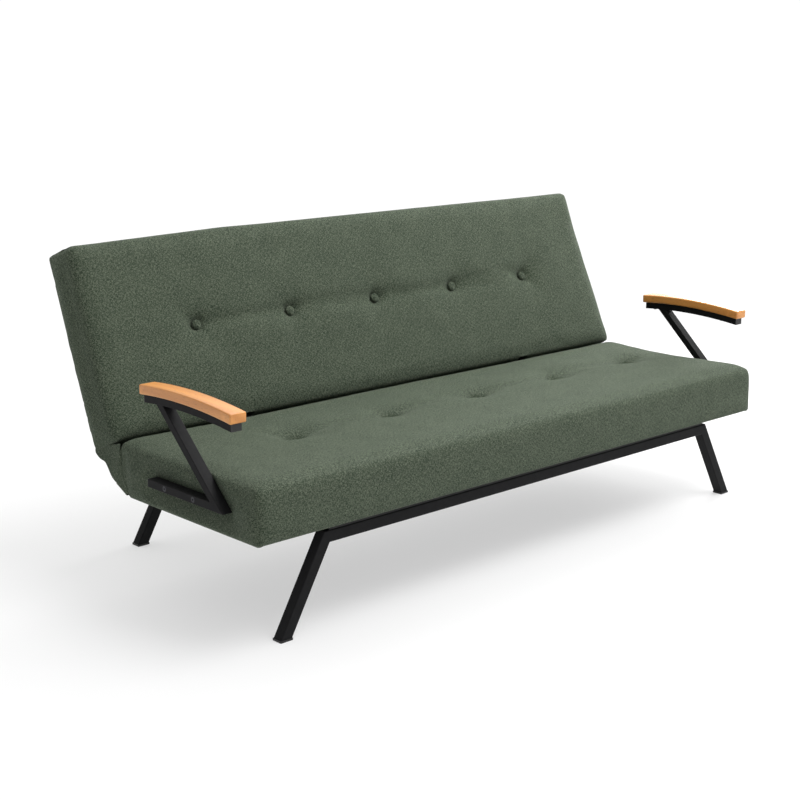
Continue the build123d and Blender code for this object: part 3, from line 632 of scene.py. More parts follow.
def dimples(places, buttons, surface, depth, reach, power=1.6):
    """How far the face sinks around each button, a little wider along the sofa."""
    total = np.zeros(len(places))
    near = places[:, 2] > surface - FACE_DEPTH
    for x, y in buttons:
        dx, dy = places[:, 0] - x, places[:, 1] - y
        away = np.hypot(dx / 1.15, dy)
        angle = np.arctan2(dy, dx)
        wide = reach * (1 + 0.08 * np.cos(3 * angle + 5 * x) + 0.05 * np.cos(7 * angle + 9 * x))
        total += np.where(near, depth * np.exp(-((away / wide) ** power)), 0)
    return total


def pull_lines(places, buttons, surface):
    """How far the face sinks in the shallow folds that run from button to button."""
    total = np.zeros(len(places))
    near = places[:, 2] > surface - FACE_DEPTH
    for (x0, y0), (x1, _) in zip(buttons, buttons[1:]):
        t = (places[:, 0] - x0) / (x1 - x0)
        inside = near & (t > 0) & (t < 1)
        t = np.clip(t, 0, 1)
        ends = np.exp(-t / 0.25) + np.exp(-(1 - t) / 0.25)
        across = (places[:, 1] - y0 - 0.008 * np.sin(3 * pi * t)) / (0.013 + 0.05 * t * (1 - t))
        total += np.where(inside, 0.0012 * ends * np.exp(-(across**2)), 0)
    return total


def swell(mesh, held, pressure, most):
    """Inflate a mesh with cloth simulation; foam behind it lets it move out but hardly in."""
    before = coordinates(mesh)
    normals = np.array([v.normal for v in mesh.vertices])
    holder = bpy.data.objects.new("swelling", mesh)
    scene.collection.objects.link(holder)
    holder.vertex_groups.new(name="held").add([int(i) for i in np.nonzero(held)[0]], 1.0, "REPLACE")
    cloth = holder.modifiers.new("cloth", "CLOTH")
    settings = cloth.settings
    settings.quality = 4
    settings.mass = 0.4
    settings.tension_stiffness = 15
    settings.compression_stiffness = 15
    settings.shear_stiffness = 6
    settings.bending_stiffness = 0.8
    settings.tension_damping = 12
    settings.air_damping = 4
    settings.vertex_group_mass = "held"
    settings.use_pressure = True
    settings.uniform_pressure_force = pressure
    settings.shrink_min = -0.004
    settings.effector_weights.gravity = 0
    cloth.collision_settings.use_collision = False
    scene.frame_start, scene.frame_end = 1, PRESS_FRAMES
    for step in range(1, PRESS_FRAMES + 1):
        scene.frame_set(step)
    graph = bpy.context.evaluated_depsgraph_get()
    after = coordinates(holder.evaluated_get(graph).data)
    scene.frame_set(1)
    bpy.data.objects.remove(holder)
    travel = after - before
    out = (travel * normals).sum(1, keepdims=True)
    slide = travel - out * normals
    length = np.linalg.norm(slide, axis=1, keepdims=True)
    slide *= np.minimum(1, MOST_SLIDE / np.maximum(length, 1e-9))
    result = before + np.clip(out, -MOST_SINK, most) * normals + slide
    result[held] = before[held]
    return result


def relaxed(mesh, places, held, rounds=5):
    """Even out a surface by moving free points towards the middle of their neighbours."""
    ends = np.empty(2 * len(mesh.edges), int)
    mesh.edges.foreach_get("vertices", ends)
    first, second = ends.reshape(-1, 2).T
    count = np.bincount(ends, minlength=len(places))[:, None]
    for _ in range(rounds):
        total = np.zeros_like(places)
        np.add.at(total, first, places[second])
        np.add.at(total, second, places[first])
        places = np.where(held[:, None], places, 0.5 * places + 0.5 * total / count)
    return places


def remeshed(mesh, size):
    """Even quads over a closed mesh."""
    holder = bpy.data.objects.new("remeshing", mesh)
    scene.collection.objects.link(holder)
    remesh = holder.modifiers.new("remesh", "REMESH")
    remesh.mode = "VOXEL"
    remesh.voxel_size = size
    return evaluated_mesh(holder)


def subdivided(mesh, levels=1):
    """A mesh with subdivision applied."""
    holder = bpy.data.objects.new("dividing", mesh)
    scene.collection.objects.link(holder)
    divide = holder.modifiers.new("divide", "SUBSURF")
    divide.levels = divide.render_levels = levels
    return evaluated_mesh(holder)


def cloth_waves(places, seed, amount):
    """Small uneven waves of fabric over foam, in pad axes."""
    wave = np.empty(len(places))
    for i, (x, y, z) in enumerate(places):
        broad = noise.noise(Vector((x * 2.2 + seed, y * 4.5, z * 4.5)))
        fine = noise.noise(Vector((x * 11.0, y * 17.0 + seed, z * 17.0)))
        wave[i] = broad + 0.3 * fine
    return amount * wave


def make_pad(name, node, body, local_frame, outline, half_length, rounds, buttons, look, shape):
    """One upholstered pad: blank, dimples, swelling by cloth simulation, finer shape, rolled edge."""
    surface = max(z for _, z in outline)
    underside = min(z for _, z in outline)
    mesh = remeshed(pad_blank(name, outline, half_length, rounds, look["end_round"]), VOXEL)
    places = coordinates(mesh)
    away = np.min([np.hypot(places[:, 0] - x, places[:, 1] - y) for x, y in buttons], axis=0)
    on_face = places[:, 2] > surface - FACE_DEPTH
    places[:, 2] -= dimples(places, buttons, surface, look["depth"], look["reach"])
    set_coordinates(mesh, places)
    held = (on_face & (away < BUTTON_HOLD)) | (places[:, 2] < underside + UNDER_HELD)
    places = swell(mesh, held, look["pressure"], look["most"])
    calm = held | (places[:, 2] < underside + UNDER_CALM)
    set_coordinates(mesh, relaxed(mesh, places, calm))
    mesh = subdivided(mesh)
    places = coordinates(mesh)
    normals = np.array([v.normal for v in mesh.vertices])
    free = np.clip((places[:, 2] - underside - WAVE_START) / WAVE_RAMP, 0, 1)
    places += normals * (cloth_waves(places, look["seed"], WAVE_HEIGHT) * free)[:, None]
    places[:, 2] -= pull_lines(places, buttons, surface)
    places[:, 2] -= dimples(places, buttons, surface, look["pinch"], PINCH_REACH, 2.4)
    places = shape(places)
    under = places[:, 2] < underside + UNDER_FLAT
    places[under, 2] = underside
    inboard = half_length - np.abs(places[:, 0])
    edge = np.maximum(1 - places[:, 1] / ROLL_FRONT, 1 - inboard / ROLL_END)
    upward = np.clip((places[:, 2] - underside) / ROLL_RISE, 0, 1)
    places[:, 2] -= look["roll"] * np.clip(edge, 0, 1) * (1 - upward)
    set_coordinates(mesh, places)
    mesh.transform(local_frame)
    smooth_all(mesh)
    box_uv(mesh, local_frame, look["seed"])
    piece = piece_from(name, mesh, melange, body)
    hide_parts(node)
    return piece


HINGE_OUTER = Vector(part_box("hinge_pins")[1]).x + 0.003
HINGE_INNER = 2 * span_in(Matrix(), "hinge_base_plates")[1][0] - HINGE_OUTER - 0.005
BAR_SINK = 0.0015
END_BULGE = 0.0145
END_BULGE_REACH = 0.060
REAR_TAPER = 0.010
REAR_TAPER_START = 0.075
REAR_TAPER_RUN = 0.04
STRUT_HALF = 0.012
SIDE_DEPTH = 0.03
RIDGE = 0.003
RIDGE_AWAY = 0.02


def press_arm_bars(places):
    """Let the arm's base bar and strut press the seat's ends in, and taper the ends to the rear."""
    low_y, high_y = BAR_LOW.y - SEAT_LOW.y, BAR_HIGH.y - SEAT_LOW.y
    low_z, high_z = BAR_LOW.z - SEAT_HIGH.z, BAR_HIGH.z - SEAT_HIGH.z
    apart = np.hypot(
        np.maximum(0, np.maximum(low_y - places[:, 1], places[:, 1] - high_y)),
        np.maximum(0, np.maximum(low_z - places[:, 2], places[:, 2] - high_z)),
    )
    strut_low, strut_high = (Vector(corner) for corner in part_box("left_arm_strut"))
    foot = Vector((strut_low.y - SEAT_LOW.y + 0.02, strut_low.z - SEAT_HIGH.z + 0.01))
    slope = (Vector((strut_high.y, strut_high.z)) - Vector((strut_low.y, strut_low.z))).normalized()
    along = (places[:, 1] - foot.x) * slope.x + (places[:, 2] - foot.y) * slope.y
    off_line = (places[:, 1] - foot.x) * slope.y - (places[:, 2] - foot.y) * slope.x
    strut = np.hypot(np.maximum(0, -along), np.maximum(0, np.abs(off_line) - STRUT_HALF))
    apart = np.minimum(apart, strut)
    limit = ARM_INNER - BAR_SINK + END_BULGE * np.clip(apart / END_BULGE_REACH, 0, 1) ** 0.7
    rearward = np.clip((places[:, 1] - (PIVOT.y - SEAT_LOW.y - REAR_TAPER_START)) / REAR_TAPER_RUN, 0, 1)
    limit = np.minimum(limit, ARM_INNER + END_BULGE - REAR_TAPER * rearward)
    side = np.abs(places[:, 0]) > ARM_INNER - SIDE_DEPTH
    bulge = np.where(side, RIDGE * np.exp(-(((apart - RIDGE_AWAY) / RIDGE_AWAY) ** 2)), 0)
    reach = np.minimum(np.abs(places[:, 0]) + bulge, limit)
    places[:, 0] = np.where(side, np.sign(places[:, 0]) * reach, places[:, 0])
    return places


def hinge_mask(places):
    """Which points of a pad lie in line with a hinge."""
    across = np.abs(places[:, 0])
    return (across > HINGE_INNER) & (across < HINGE_OUTER)


HEEL_SLOT = 0.032
HEEL_SLOT_REACH = 0.03
HEEL_SLOT_TOP = 0.008


def shape_seat(places):
    """Press the arms in and open the two hinge slots at the heel."""
    places = press_arm_bars(places)
    rear = PIVOT.y - SEAT_LOW.y
    slot = hinge_mask(places) & (places[:, 1] > rear - HEEL_SLOT_REACH)
    slot &= places[:, 2] < -HEEL_SLOT_TOP
    places[slot, 1] = np.minimum(places[slot, 1], rear - HEEL_SLOT)
    return places


CROWN = 0.013
CROWN_START = 0.3
LOW_END_FILL = 0.011
LOW_END_START = 0.7
LOW_END_HEIGHT = 0.45
HINGE_LIP = 0.012
LIP_SINK = 0.006
LOW_SLOT_REACH = 0.03
LOW_SLOT = 0.045
REAR_SLOT = 0.015
REAR_SLOT_START = 0.1
FOLD_DEPTH = 0.006


def shape_back(places):
    """Pinch the top corners, crown the top, fill the low ends and open the two hinge slots."""
    top = places[:, 1].max()
    end = np.abs(places[:, 0]).max()
    for side in (-1, 1):
        fold = np.hypot(
            (places[:, 0] - side * (end - 0.012)) / 0.009,
            (places[:, 1] - (top - 0.010)) / 0.006,
        )
        depth = FOLD_DEPTH * np.exp(-(fold**2)) * (places[:, 2] > -0.045)
        places[:, 2] -= depth
        places[:, 1] -= depth
    rise = np.clip((places[:, 1] - CROWN_START) / (top - CROWN_START), 0, 1)
    places[:, 1] += CROWN * np.clip((places[:, 0] + end) / 0.5, 0, 1) * rise
    outboard = np.clip((np.abs(places[:, 0]) - LOW_END_START) / (end - LOW_END_START), 0, 1)
    low_end = np.clip(1 - places[:, 1] / LOW_END_HEIGHT, 0, 1) * outboard
    places[:, 0] += np.sign(places[:, 0]) * LOW_END_FILL * low_end
    low_slot = hinge_mask(places) & (places[:, 1] < LOW_SLOT_REACH)
    lip = low_slot & (places[:, 2] > -HINGE_LIP)
    places[lip, 2] = np.maximum(places[lip, 2], -LIP_SINK)
    slot = low_slot & (places[:, 2] <= -HINGE_LIP) & (places[:, 2] > -REAR_SLOT_START)
    places[slot, 1] = np.maximum(places[slot, 1], LOW_SLOT)
    rear_slot = low_slot & (places[:, 2] <= -REAR_SLOT_START)
    places[rear_slot, 1] = np.maximum(places[rear_slot, 1], REAR_SLOT)
    return places


def make_seat_pad():
    """The seat's pad: crowned top, rounded nose, crisp lower edge."""
    low, high = span_in(SEAT_FRAME, "seat_pad")
    heel_y = span_in(SEAT_FRAME, "seat_cloth")[1][1] + 0.005
    heel_z = low[2] + 0.053
    floor = low[2] + 0.0006
    outline = [
        (0.000, floor),
        (0.001, -0.003),
        (high[1] - 0.001, -0.003),
        (high[1] - 0.001, heel_z),
        (heel_y, floor),
    ]
    look = {
        "end_round": 0.012,
        "depth": 0.022,
        "reach": 0.050,
        "pinch": 0.017,
        "pressure": 3.5,
        "most": 0.008,
        "seed": 3.1,
        "roll": 0.006,
    }
    return make_pad(
        "seat_upholstery", "seat_pad", "seat", SEAT_FRAME, outline, high[0] + 0.010,
        [(1, 0.026), (2, 0.010)], button_row(SEAT_FRAME, "seat_buttons"), look, shape_seat,
    )


def make_back_pad():
    """The back's pad: flatter, with softer edges all round."""
    low, high = span_in(BACK_FRAME, "back_pad")
    floor = low[2] + 0.0006
    outline = [(low[1] - 0.001, floor), (low[1] - 0.001, -0.003), (high[1], -0.003), (high[1], floor)]
    look = {
        "end_round": 0.020,
        "depth": 0.015,
        "reach": 0.055,
        "pinch": 0.012,
        "pressure": 3.0,
        "most": 0.007,
        "seed": 8.7,
        "roll": 0,
    }
    return make_pad(
        "back_upholstery", "back_pad", "back", BACK_FRAME, outline, high[0] + 0.011,
        [(1, 0.010), (2, 0.010), (3, 0.006)], button_row(BACK_FRAME, "back_buttons"), look, shape_back,
    )


# ---------------------------------------------------------------------------------------------
# Covered buttons
# ---------------------------------------------------------------------------------------------


def button_mesh():
    """One fabric-covered button: a dome over a rolled rim, with its axis along Z."""
    profile = [
        (0.0, 0.0068), (0.004, 0.0066), (0.008, 0.0058), (0.0112, 0.0043),
        (0.0132, 0.0022), (0.0138, 0.0002), (0.0128, -0.0016), (0.0105, -0.0028),
    ]
    work = bmesh.new()
    rings = []
    count = 28
    for radius, z in profile[1:]:
        ring = []
        for i in range(count):
            angle = 2 * pi * i / count
            pleat = 1 + 0.012 * cos(9 * angle) * (radius / 0.0138) ** 2
            ring.append(work.verts.new((radius * pleat * cos(angle), radius * pleat * sin(angle), z)))
        rings.append(ring)
    top = work.verts.new((0, 0, profile[0][1]))
    bottom = work.verts.new((0, 0, profile[-1][1]))
    for i in range(count):
        j = (i + 1) % count
        work.faces.new((top, rings[0][i], rings[0][j]))
        for inner, outer in zip(rings, rings[1:]):
            work.faces.new((inner[i], outer[i], outer[j], inner[j]))
        work.faces.new((rings[-1][i], bottom, rings[-1][j]))
    mesh = bpy.data.meshes.new("button")
    work.to_mesh(mesh)
    work.free()
    return mesh


def make_buttons(name, node, body, local_frame, sink):
    """The row of buttons of one pad, each at the bottom of its dimple and a little askew."""
    work = bmesh.new()
    for i, (x, y) in enumerate(button_row(local_frame, node)):
        single = button_mesh()
        lean = Matrix.Rotation(0.10 * sin(2.3 * i + 1), 4, "X") @ Matrix.Rotation(0.9 * i, 4, "Z")
        single.transform(local_frame @ Matrix.Translation((x, y, -sink)) @ lean)
        work.from_mesh(single)
        bpy.data.meshes.remove(single)
    mesh = bpy.data.meshes.new(name)
    work.to_mesh(mesh)
    work.free()
    smooth_all(mesh)
    piece = piece_from(name, mesh, melange_button, body)
    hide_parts(node)
    return piece


# ---------------------------------------------------------------------------------------------
# Gusset: slack fabric from the seat's heel round to the back's lower rear edge
# ---------------------------------------------------------------------------------------------

SHEET_THICK = 0.0012
POST_GAP_WIDTH = 0.046
POST_GAP_TOP = 0.04


def smooth_path(points, steps):
    """Points along a centripetal curve through the given ones."""
    path = []
    padded = [2 * points[0] - points[1]] + points + [2 * points[-1] - points[-2]]
    for a, b, c, d in zip(padded, padded[1:], padded[2:], padded[3:]):
        for i in range(steps):
            t = i / steps
            path.append(
                0.5 * ((2 * b) + (c - a) * t + (2 * a - 5 * b + 4 * c - d) * t**2
                       + (3 * b - a - 3 * c + d) * t**3)
            )
    return path + [points[-1]]


def gusset_sheet(name, outer, inner, slack, seed, end, tuck):
    """A sheet along the sofa that follows an outer line and is closed at both ends by a side."""
    slot = (HINGE_INNER - 0.002, HINGE_OUTER + 0.002)
    columns = sorted(
        set(np.linspace(-end, end, 127)) | {side * x for x in slot for side in (-1, 1)}
    )
    work = bmesh.new()
    grid = []
    for x in columns:
        middle = 1 - (abs(x) / end) ** 6
        row = []
        for i, (y, z) in enumerate(outer):
            along = i / (len(outer) - 1)
            belly = sin(pi * along) * middle
            ripple = noise.noise(Vector((x * 3.2 + seed, along * 2.0, seed)))
            crumple = noise.noise(Vector((x * 13.0, along * 5.0 + seed, 2.0)))
            sag = slack * belly * (0.5 + 0.8 * ripple) + 0.0035 * belly * crumple
            out = Vector((y - PIVOT.y, z - PIVOT.z)).normalized() * sag
            row.append(work.verts.new((x, y + out.x, z + out.y)))
        grid.append(row)
    for left, right in zip(grid, grid[1:]):
        middle_x = abs(left[0].co.x + right[0].co.x) / 2
        for a, b, c, d in zip(left, left[1:], right[1:], right):
            post = slot[0] < middle_x < slot[1] and abs(a.co.y + b.co.y - 2 * PIVOT.y) < POST_GAP_WIDTH
            if not (post and a.co.z < PIVOT.z - POST_GAP_TOP):
                work.faces.new((a, b, c, d))
    steps = 8
    for side, rim in ((-1, grid[0]), (1, grid[-1])):
        previous = rim
        for k in range(1, steps + 1):
            t = k / steps
            line = []
            for i, (vertex, target) in enumerate(zip(rim, inner)):
                place = vertex.co.yz.lerp(target, t)
                hollow = 0.003 * sin(pi * t) * sin(pi * i / (len(rim) - 1)) + tuck * t**6
                line.append(work.verts.new((side * (end - hollow), place.x, place.y)))
            for a, b, c, d in zip(previous, previous[1:], line[1:], line):
                work.faces.new((a, b, c, d) if side > 0 else (d, c, b, a))
            previous = line
    bmesh.ops.remove_doubles(work, verts=work.verts, dist=1e-5)
    bmesh.ops.recalc_face_normals(work, faces=work.faces)
    mesh = bpy.data.meshes.new(name)
    work.to_mesh(mesh)
    work.free()
    holder = bpy.data.objects.new(name, mesh)
    scene.collection.objects.link(holder)
    wall = holder.modifiers.new("wall", "SOLIDIFY")
    wall.thickness = SHEET_THICK
    divide = holder.modifiers.new("divide", "SUBSURF")
    divide.levels = divide.render_levels = 1
    mesh = evaluated_mesh(holder)
    smooth_all(mesh)
    box_uv(mesh, Matrix(), seed)
    return piece_from(name, mesh, melange, None)


def make_gusset():
    """Heel part, which follows the seat, and rear part, which follows the back."""
    seat_end = span_in(Matrix(), "seat_pad")[1]
    cloth_rear = span_in(Matrix(), "seat_cloth")[1][1] + 0.004
    deep = -span_in(BACK_FRAME, "back_pad")[0][2]

    def on_back(up, behind):
        return (BACK_FRAME @ Vector((0, up, -behind))).yz

    heel = Vector((cloth_rear, SEAT_LOW.z))
    corner = Vector((SEAT_LOW.y + 0.562, SEAT_LOW.z + 0.060))
    apex = Vector((SEAT_LOW.y + 0.563, SEAT_HIGH.z - 0.006))
    sewn = Vector((SEAT_LOW.y + 0.594, SEAT_LOW.z + 0.019))
    heel_outer = smooth_path([heel, heel.lerp(sewn, 0.45) + Vector((0, -0.001)), sewn], 4)
    heel_inner = smooth_path([heel + Vector((-0.010, 0.010)), corner, apex], 4)
    rear_outer = smooth_path(
        [
            sewn,
            Vector((SEAT_LOW.y + 0.616, SEAT_LOW.z + 0.031)),
            Vector((SEAT_LOW.y + 0.636, SEAT_LOW.z + 0.056)),
            Vector((SEAT_LOW.y + 0.648, SEAT_LOW.z + 0.066)),
            Vector((SEAT_LOW.y + 0.670, SEAT_LOW.z + 0.070)),
            Vector((SEAT_LOW.y + 0.688, SEAT_LOW.z + 0.084)),
            on_back(0.014, deep + 0.003),
        ],
        4,
    )
    rear_inner = [
        apex.lerp(on_back(0.010, deep - 0.006), i / (len(rear_outer) - 1))
        for i in range(len(rear_outer))
    ]
    end = seat_end[0] + 0.010
    heel_part = gusset_sheet("gusset_heel", heel_outer, heel_inner, 0.003, 1.7, end, 0.009)
    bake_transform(heel_part)
    rear_part = gusset_sheet("gusset_rear", rear_outer, rear_inner, 0.006, 5.3, end - 0.0015, 0.0003)
    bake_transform(rear_part)
    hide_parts("gusset")


# ---------------------------------------------------------------------------------------------
# Seams, laid on the finished pads
# ---------------------------------------------------------------------------------------------


def seam_along(pad, routes, name, body, radius=0.0009):
    """Thin sewn seams: each route is dropped onto the pad's surface along its own direction."""
    tree = BVHTree.FromPolygons(
        [v.co for v in pad.data.vertices], [p.vertices[:] for p in pad.data.polygons]
    )
    work = bmesh.new()
    for route in routes:
        points = []
        for place in route:
            near, normal, _, _ = tree.find_nearest(place)
            points.append(near + normal * radius * 0.1)
        line = tube_mesh(points, radius)
        work.from_mesh(line)
        bpy.data.meshes.remove(line)
    mesh = bpy.data.meshes.new(name)
    work.to_mesh(mesh)
    work.free()
    smooth_all(mesh)
    return piece_from(name, mesh, melange_seam, body)


def straight(local_frame, start, end, count=40):
    """Evenly spaced points between two places of a pad."""
    start, end = Vector(start), Vector(end)
    return [local_frame @ start.lerp(end, i / (count - 1)) for i in range(count)]


def make_seams(seat, back):
    """Rear corner seams of the seat and of the back's ends."""
    low, high = span_in(SEAT_FRAME, "seat_pad")
    routes = []
    for side in (-1, 1):
        x = side * high[0]
        routes.append(straight(SEAT_FRAME, (x, high[1], low[2] + 0.055), (x, high[1], -0.008), 20))
    seam_along(seat, routes, "seat_seams", "seat")
    low, high = span_in(BACK_FRAME, "back_pad")
    routes = []
    for side in (-1, 1):
        x = side * high[0]
        routes.append(straight(BACK_FRAME, (x, high[1], -0.006), (x, high[1], low[2] + 0.006), 24))
        routes.append(straight(BACK_FRAME, (x, low[1], -0.008), (x, low[1], low[2] + 0.006), 24))
    seam_along(back, routes, "back_seams", "back")


# ---------------------------------------------------------------------------------------------
# Staples and weld beads, repeated along lines by geometry nodes
# ---------------------------------------------------------------------------------------------


def make_repeat_tree():
    """A node tree that repeats a small rounded bead along lines, turned to follow them."""
    tree = bpy.data.node_groups.new("repeat_along", "GeometryNodeTree")
    for name, kind, default in (
        ("Geometry", "NodeSocketGeometry", None),
        ("Spacing", "NodeSocketFloat", 0.03),
        ("Bead size", "NodeSocketVector", (0.01, 0.001, 0.001)),
        ("Turn", "NodeSocketFloat", 0.1),
        ("Seed", "NodeSocketInt", 1),
        ("Material", "NodeSocketMaterial", None),
    ):
        item = tree.interface.new_socket(name, in_out="INPUT", socket_type=kind)
        if default is not None:
            item.default_value = default
    tree.interface.new_socket("Geometry", in_out="OUTPUT", socket_type="NodeSocketGeometry")
    w = Wiring(tree)
    inp, out = w.node("NodeGroupInput"), w.node("NodeGroupOutput")
    curve = w.node("GeometryNodeMeshToCurve")
    w.join(inp.outputs["Geometry"], curve.inputs["Mesh"])
    points = w.node("GeometryNodeCurveToPoints", mode="LENGTH")
    w.join(curve.outputs["Curve"], points.inputs["Curve"])
    w.join(inp.outputs["Spacing"], points.inputs["Length"])
    bead = w.node("GeometryNodeMeshUVSphere")
    bead.inputs["Segments"].default_value = 8
    bead.inputs["Rings"].default_value = 5
    bead.inputs["Radius"].default_value = 0.5
    jitter = w.node("FunctionNodeRandomValue", data_type="FLOAT_VECTOR")
    turn = w.math("MULTIPLY", inp.outputs["Turn"], -1.0)
    w.join(w.combine(turn, turn, turn), jitter.inputs["Min"])
    w.join(
        w.combine(inp.outputs["Turn"], inp.outputs["Turn"], inp.outputs["Turn"]), jitter.inputs["Max"]
    )
    w.join(inp.outputs["Seed"], jitter.inputs["Seed"])
    aim = w.node("FunctionNodeRotateRotation", rotation_space="LOCAL")
    w.join(points.outputs["Rotation"], aim.inputs["Rotation"])
    w.join(jitter.outputs["Value"], aim.inputs["Rotate By"])
    place = w.node("GeometryNodeInstanceOnPoints")
    w.join(points.outputs["Points"], place.inputs["Points"])
    w.join(bead.outputs["Mesh"], place.inputs["Instance"])
    w.join(aim.outputs["Rotation"], place.inputs["Rotation"])
    w.join(inp.outputs["Bead size"], place.inputs["Scale"])
    real = w.node("GeometryNodeRealizeInstances")
    w.join(place.outputs["Instances"], real.inputs["Geometry"])
    shade = w.node("GeometryNodeSetMaterial")
    w.join(real.outputs["Geometry"], shade.inputs["Geometry"])
    w.join(inp.outputs["Material"], shade.inputs["Material"])
    w.join(shade.outputs["Geometry"], out.inputs["Geometry"])
    return tree


def repeat_along(name, lines, body, slot, **settings):
    """Beads along straight lines, made a plain mesh that rides on one body."""
    mesh = bpy.data.meshes.new(name)
    verts = [point for line in lines for point in line]
    edges = [(2 * i, 2 * i + 1) for i in range(len(lines))]
    mesh.from_pydata(verts, edges, [])
    holder = bpy.data.objects.new(name, mesh)
    scene.collection.objects.link(holder)
    modifier = holder.modifiers.new("repeat", "NODES")
    modifier.node_group = repeat_tree
    sockets = {item.name: item.identifier for item in repeat_tree.interface.items_tree
               if item.in_out == "INPUT"}
    for key, value in settings.items():
        modifier[sockets[key.replace("_", " ")]] = value
    mesh = evaluated_mesh(holder)
    smooth_all(mesh)
    return piece_from(name, mesh, settings["Material"], body)


repeat_tree = make_repeat_tree()


def rectangle_lines(local_frame, low, high, inset, z):
    """Four lines round a rectangle of a pad's plane, set in from its edges."""
    x0, y0, x1, y1 = low[0] + inset, low[1] + inset, high[0] - inset, high[1] - inset
    corners = [(x0, y0), (x1, y0), (x1, y1), (x0, y1)]
    places = [local_frame @ Vector((x, y, z)) for x, y in corners]
    return list(zip(places, places[1:] + places[:1]))


def make_staples():
    """Staples that hold the dust cloth under the seat and the panel behind the back."""
    for name, node, body, local_frame in (
        ("seat_staples", "seat_cloth", "seat", SEAT_FRAME),
        ("back_staples", "back_panel", "back", BACK_FRAME),
    ):
        low, high = span_in(local_frame, node)
        lines = rectangle_lines(local_frame, low, high, 0.006, low[2] - 0.0002)
        repeat_along(
            name, lines, body, "zinc_steel", Spacing=0.034, Bead_size=(0.0012, 0.0012, 0.0105),
            Turn=0.07, Seed=4, Material=staple_wire,
        )


def make_welds():
    """Weld beads where the side rails meet the cross bars and where the arm's tubes meet."""
    lines = []
    for side in ("left", "right"):
        low, high = (Vector(c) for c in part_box(f"{side}_side_rail"))
        for y in (low.y, high.y):
            lines.append((Vector((low.x, y, low.z + 0.0004)), Vector((high.x, y, low.z + 0.0004))))
            for x in (low.x, high.x):
                lines.append((Vector((x, y, low.z + 0.003)), Vector((x, y, high.z - 0.003))))
    repeat_along(
        "rail_welds", lines, "base", "black_steel", Spacing=0.0026,
        Bead_size=(0.0052, 0.0052, 0.0034), Turn=0.2, Seed=9, Material=black_coat,
    )
    lines = []
    for side in ("left", "right"):
        strut_low, strut_high = (Vector(c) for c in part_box(f"{side}_arm_strut"))
        bar_high = Vector(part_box(f"{side}_arm_base_bar")[1])
        inner, outer = strut_low.x + 0.002, strut_high.x - 0.002
        rise = (strut_high.z - bar_high.z) / (strut_high.y - strut_low.y)
        fork = strut_low.y + (bar_high.z - strut_low.z) / rise + 0.034
        lines.append((Vector((inner, fork, bar_high.z)), Vector((outer, fork, bar_high.z))))
    repeat_along(
        "arm_welds", lines, "seat", "black_steel", Spacing=0.0026,
        Bead_size=(0.005, 0.005, 0.0034), Turn=0.2, Seed=5, Material=black_coat,
    )


finish_cad_nodes()
seat_upholstery = make_seat_pad()
back_upholstery = make_back_pad()
make_seams(seat_upholstery, back_upholstery)
make_buttons("seat_covered_buttons", "seat_buttons", "seat", SEAT_FRAME, 0.028)
make_buttons("back_covered_buttons", "back_buttons", "back", BACK_FRAME, 0.018)
make_gusset()
make_staples()
make_welds()

# ---------------------------------------------------------------------------------------------
# Stage, lights and camera
# ---------------------------------------------------------------------------------------------

CAMERA_PLACE = (-2.8545, SEAT_LOW.y - 2.5120, 1.3452)
CAMERA_TURN = 0.7474
CAMERA_DIP = -0.2345
CAMERA_LENS = 66.39


def make_stage():
    """A wide pale floor, faintly lit from below as a shooting table is."""
    bpy.ops.mesh.primitive_plane_add(size=60)
    floor = bpy.context.object
    floor.name = "floor"

    def build(w, shader):
        shader.inputs["Base Color"].default_value = (0.38, 0.38, 0.38, 1)
        shader.inputs["Emission Color"].default_value = (1, 1, 1, 1)
        away = w.node("ShaderNodeVectorMath", operation="LENGTH")
        w.join(w.node("ShaderNodeTexCoord").outputs["Object"], away.inputs[0])
        far = w.math("MULTIPLY", w.ramp(away.outputs["Value"], 1.8, 5.0), 0.12)
        w.join(w.math("ADD", far, 0.50), shader.inputs["Emission Strength"])

    floor.data.materials.append(finish_material("pale_floor", build, Roughness=0.9))


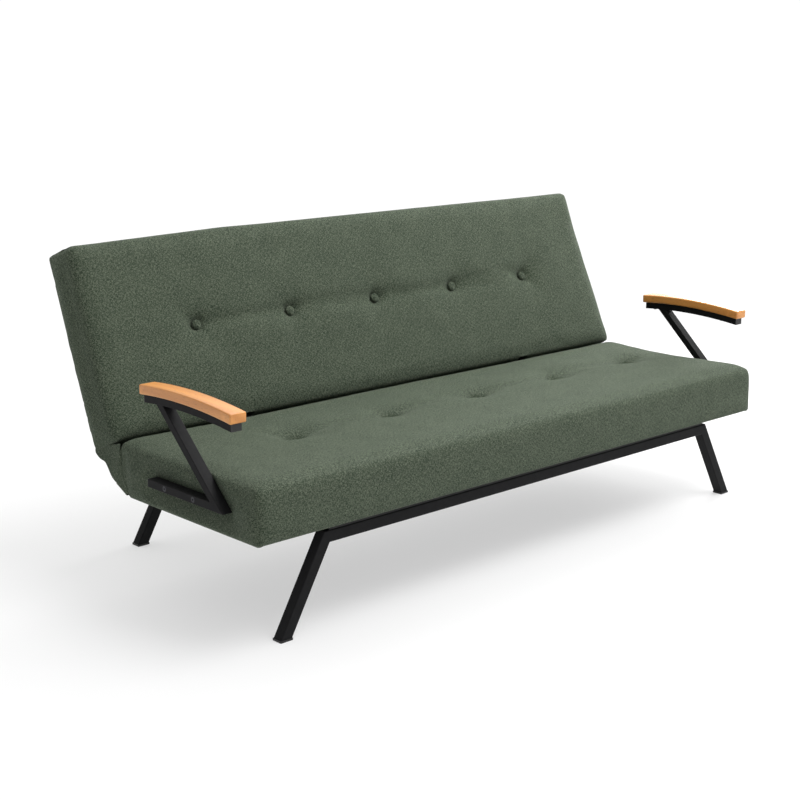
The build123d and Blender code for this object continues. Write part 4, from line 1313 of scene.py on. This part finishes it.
def add_light(name, place, target, size, power):
    """A soft area light aimed at a point."""
    data = bpy.data.lights.new(name, "AREA")
    data.energy = power
    data.shape = "RECTANGLE"
    data.size, data.size_y = size
    lamp = bpy.data.objects.new(name, data)
    lamp.location = place
    lamp.rotation_euler = (Vector(target) - Vector(place)).to_track_quat("-Z", "Y").to_euler()
    scene.collection.objects.link(lamp)


def make_lights():
    """Bright surround behind the sofa, dimmer beside the camera, and large soft lights above."""
    world = bpy.data.worlds.new("surround")
    world.use_nodes = True
    w = Wiring(world.node_tree)
    behind = (sin(CAMERA_TURN), cos(CAMERA_TURN), 0)
    direction = w.node("ShaderNodeTexCoord").outputs["Generated"]
    facing = w.node("ShaderNodeVectorMath", operation="DOT_PRODUCT")
    w.join(direction, facing.inputs[0])
    facing.inputs[1].default_value = behind
    level = w.math("MULTIPLY", w.ramp(facing.outputs["Value"], 0.1, 0.75), 0.95)
    x, _, z = w.split(direction)
    rightward = w.math("ADD", w.math("MULTIPLY", x, 0.6), 0.8)
    above = w.math("MULTIPLY", w.ramp(z, 0.2, 0.6), rightward)
    skyline = w.math("MULTIPLY", w.ramp(z, 0.07, 0.03), 0.95)
    strength = w.math("MAXIMUM", w.math("ADD", w.math("ADD", level, above), 0.08), skyline)
    w.join(strength, world.node_tree.nodes["Background"].inputs["Strength"])
    world.node_tree.nodes["Background"].inputs["Color"].default_value = (1, 1, 1, 1)
    scene.world = world
    add_light("overhead", (0.9, -1.5, 3.8), (0, 0, 0.3), (3.2, 2.0), 122)
    add_light("side", (2.7, 0.6, 1.6), (0.6, 0, 0.4), (1.2, 1.2), 42)
    scene.view_settings.view_transform = "Standard"


def make_camera():
    """The camera at the viewing angle of a catalogue picture."""
    data = bpy.data.cameras.new("camera")
    data.lens = CAMERA_LENS
    camera = bpy.data.objects.new("camera", data)
    camera.location = CAMERA_PLACE
    camera.rotation_euler = (pi / 2 + CAMERA_DIP, 0, -CAMERA_TURN)
    scene.collection.objects.link(camera)
    scene.camera = camera


make_stage()
make_lights()
make_camera()
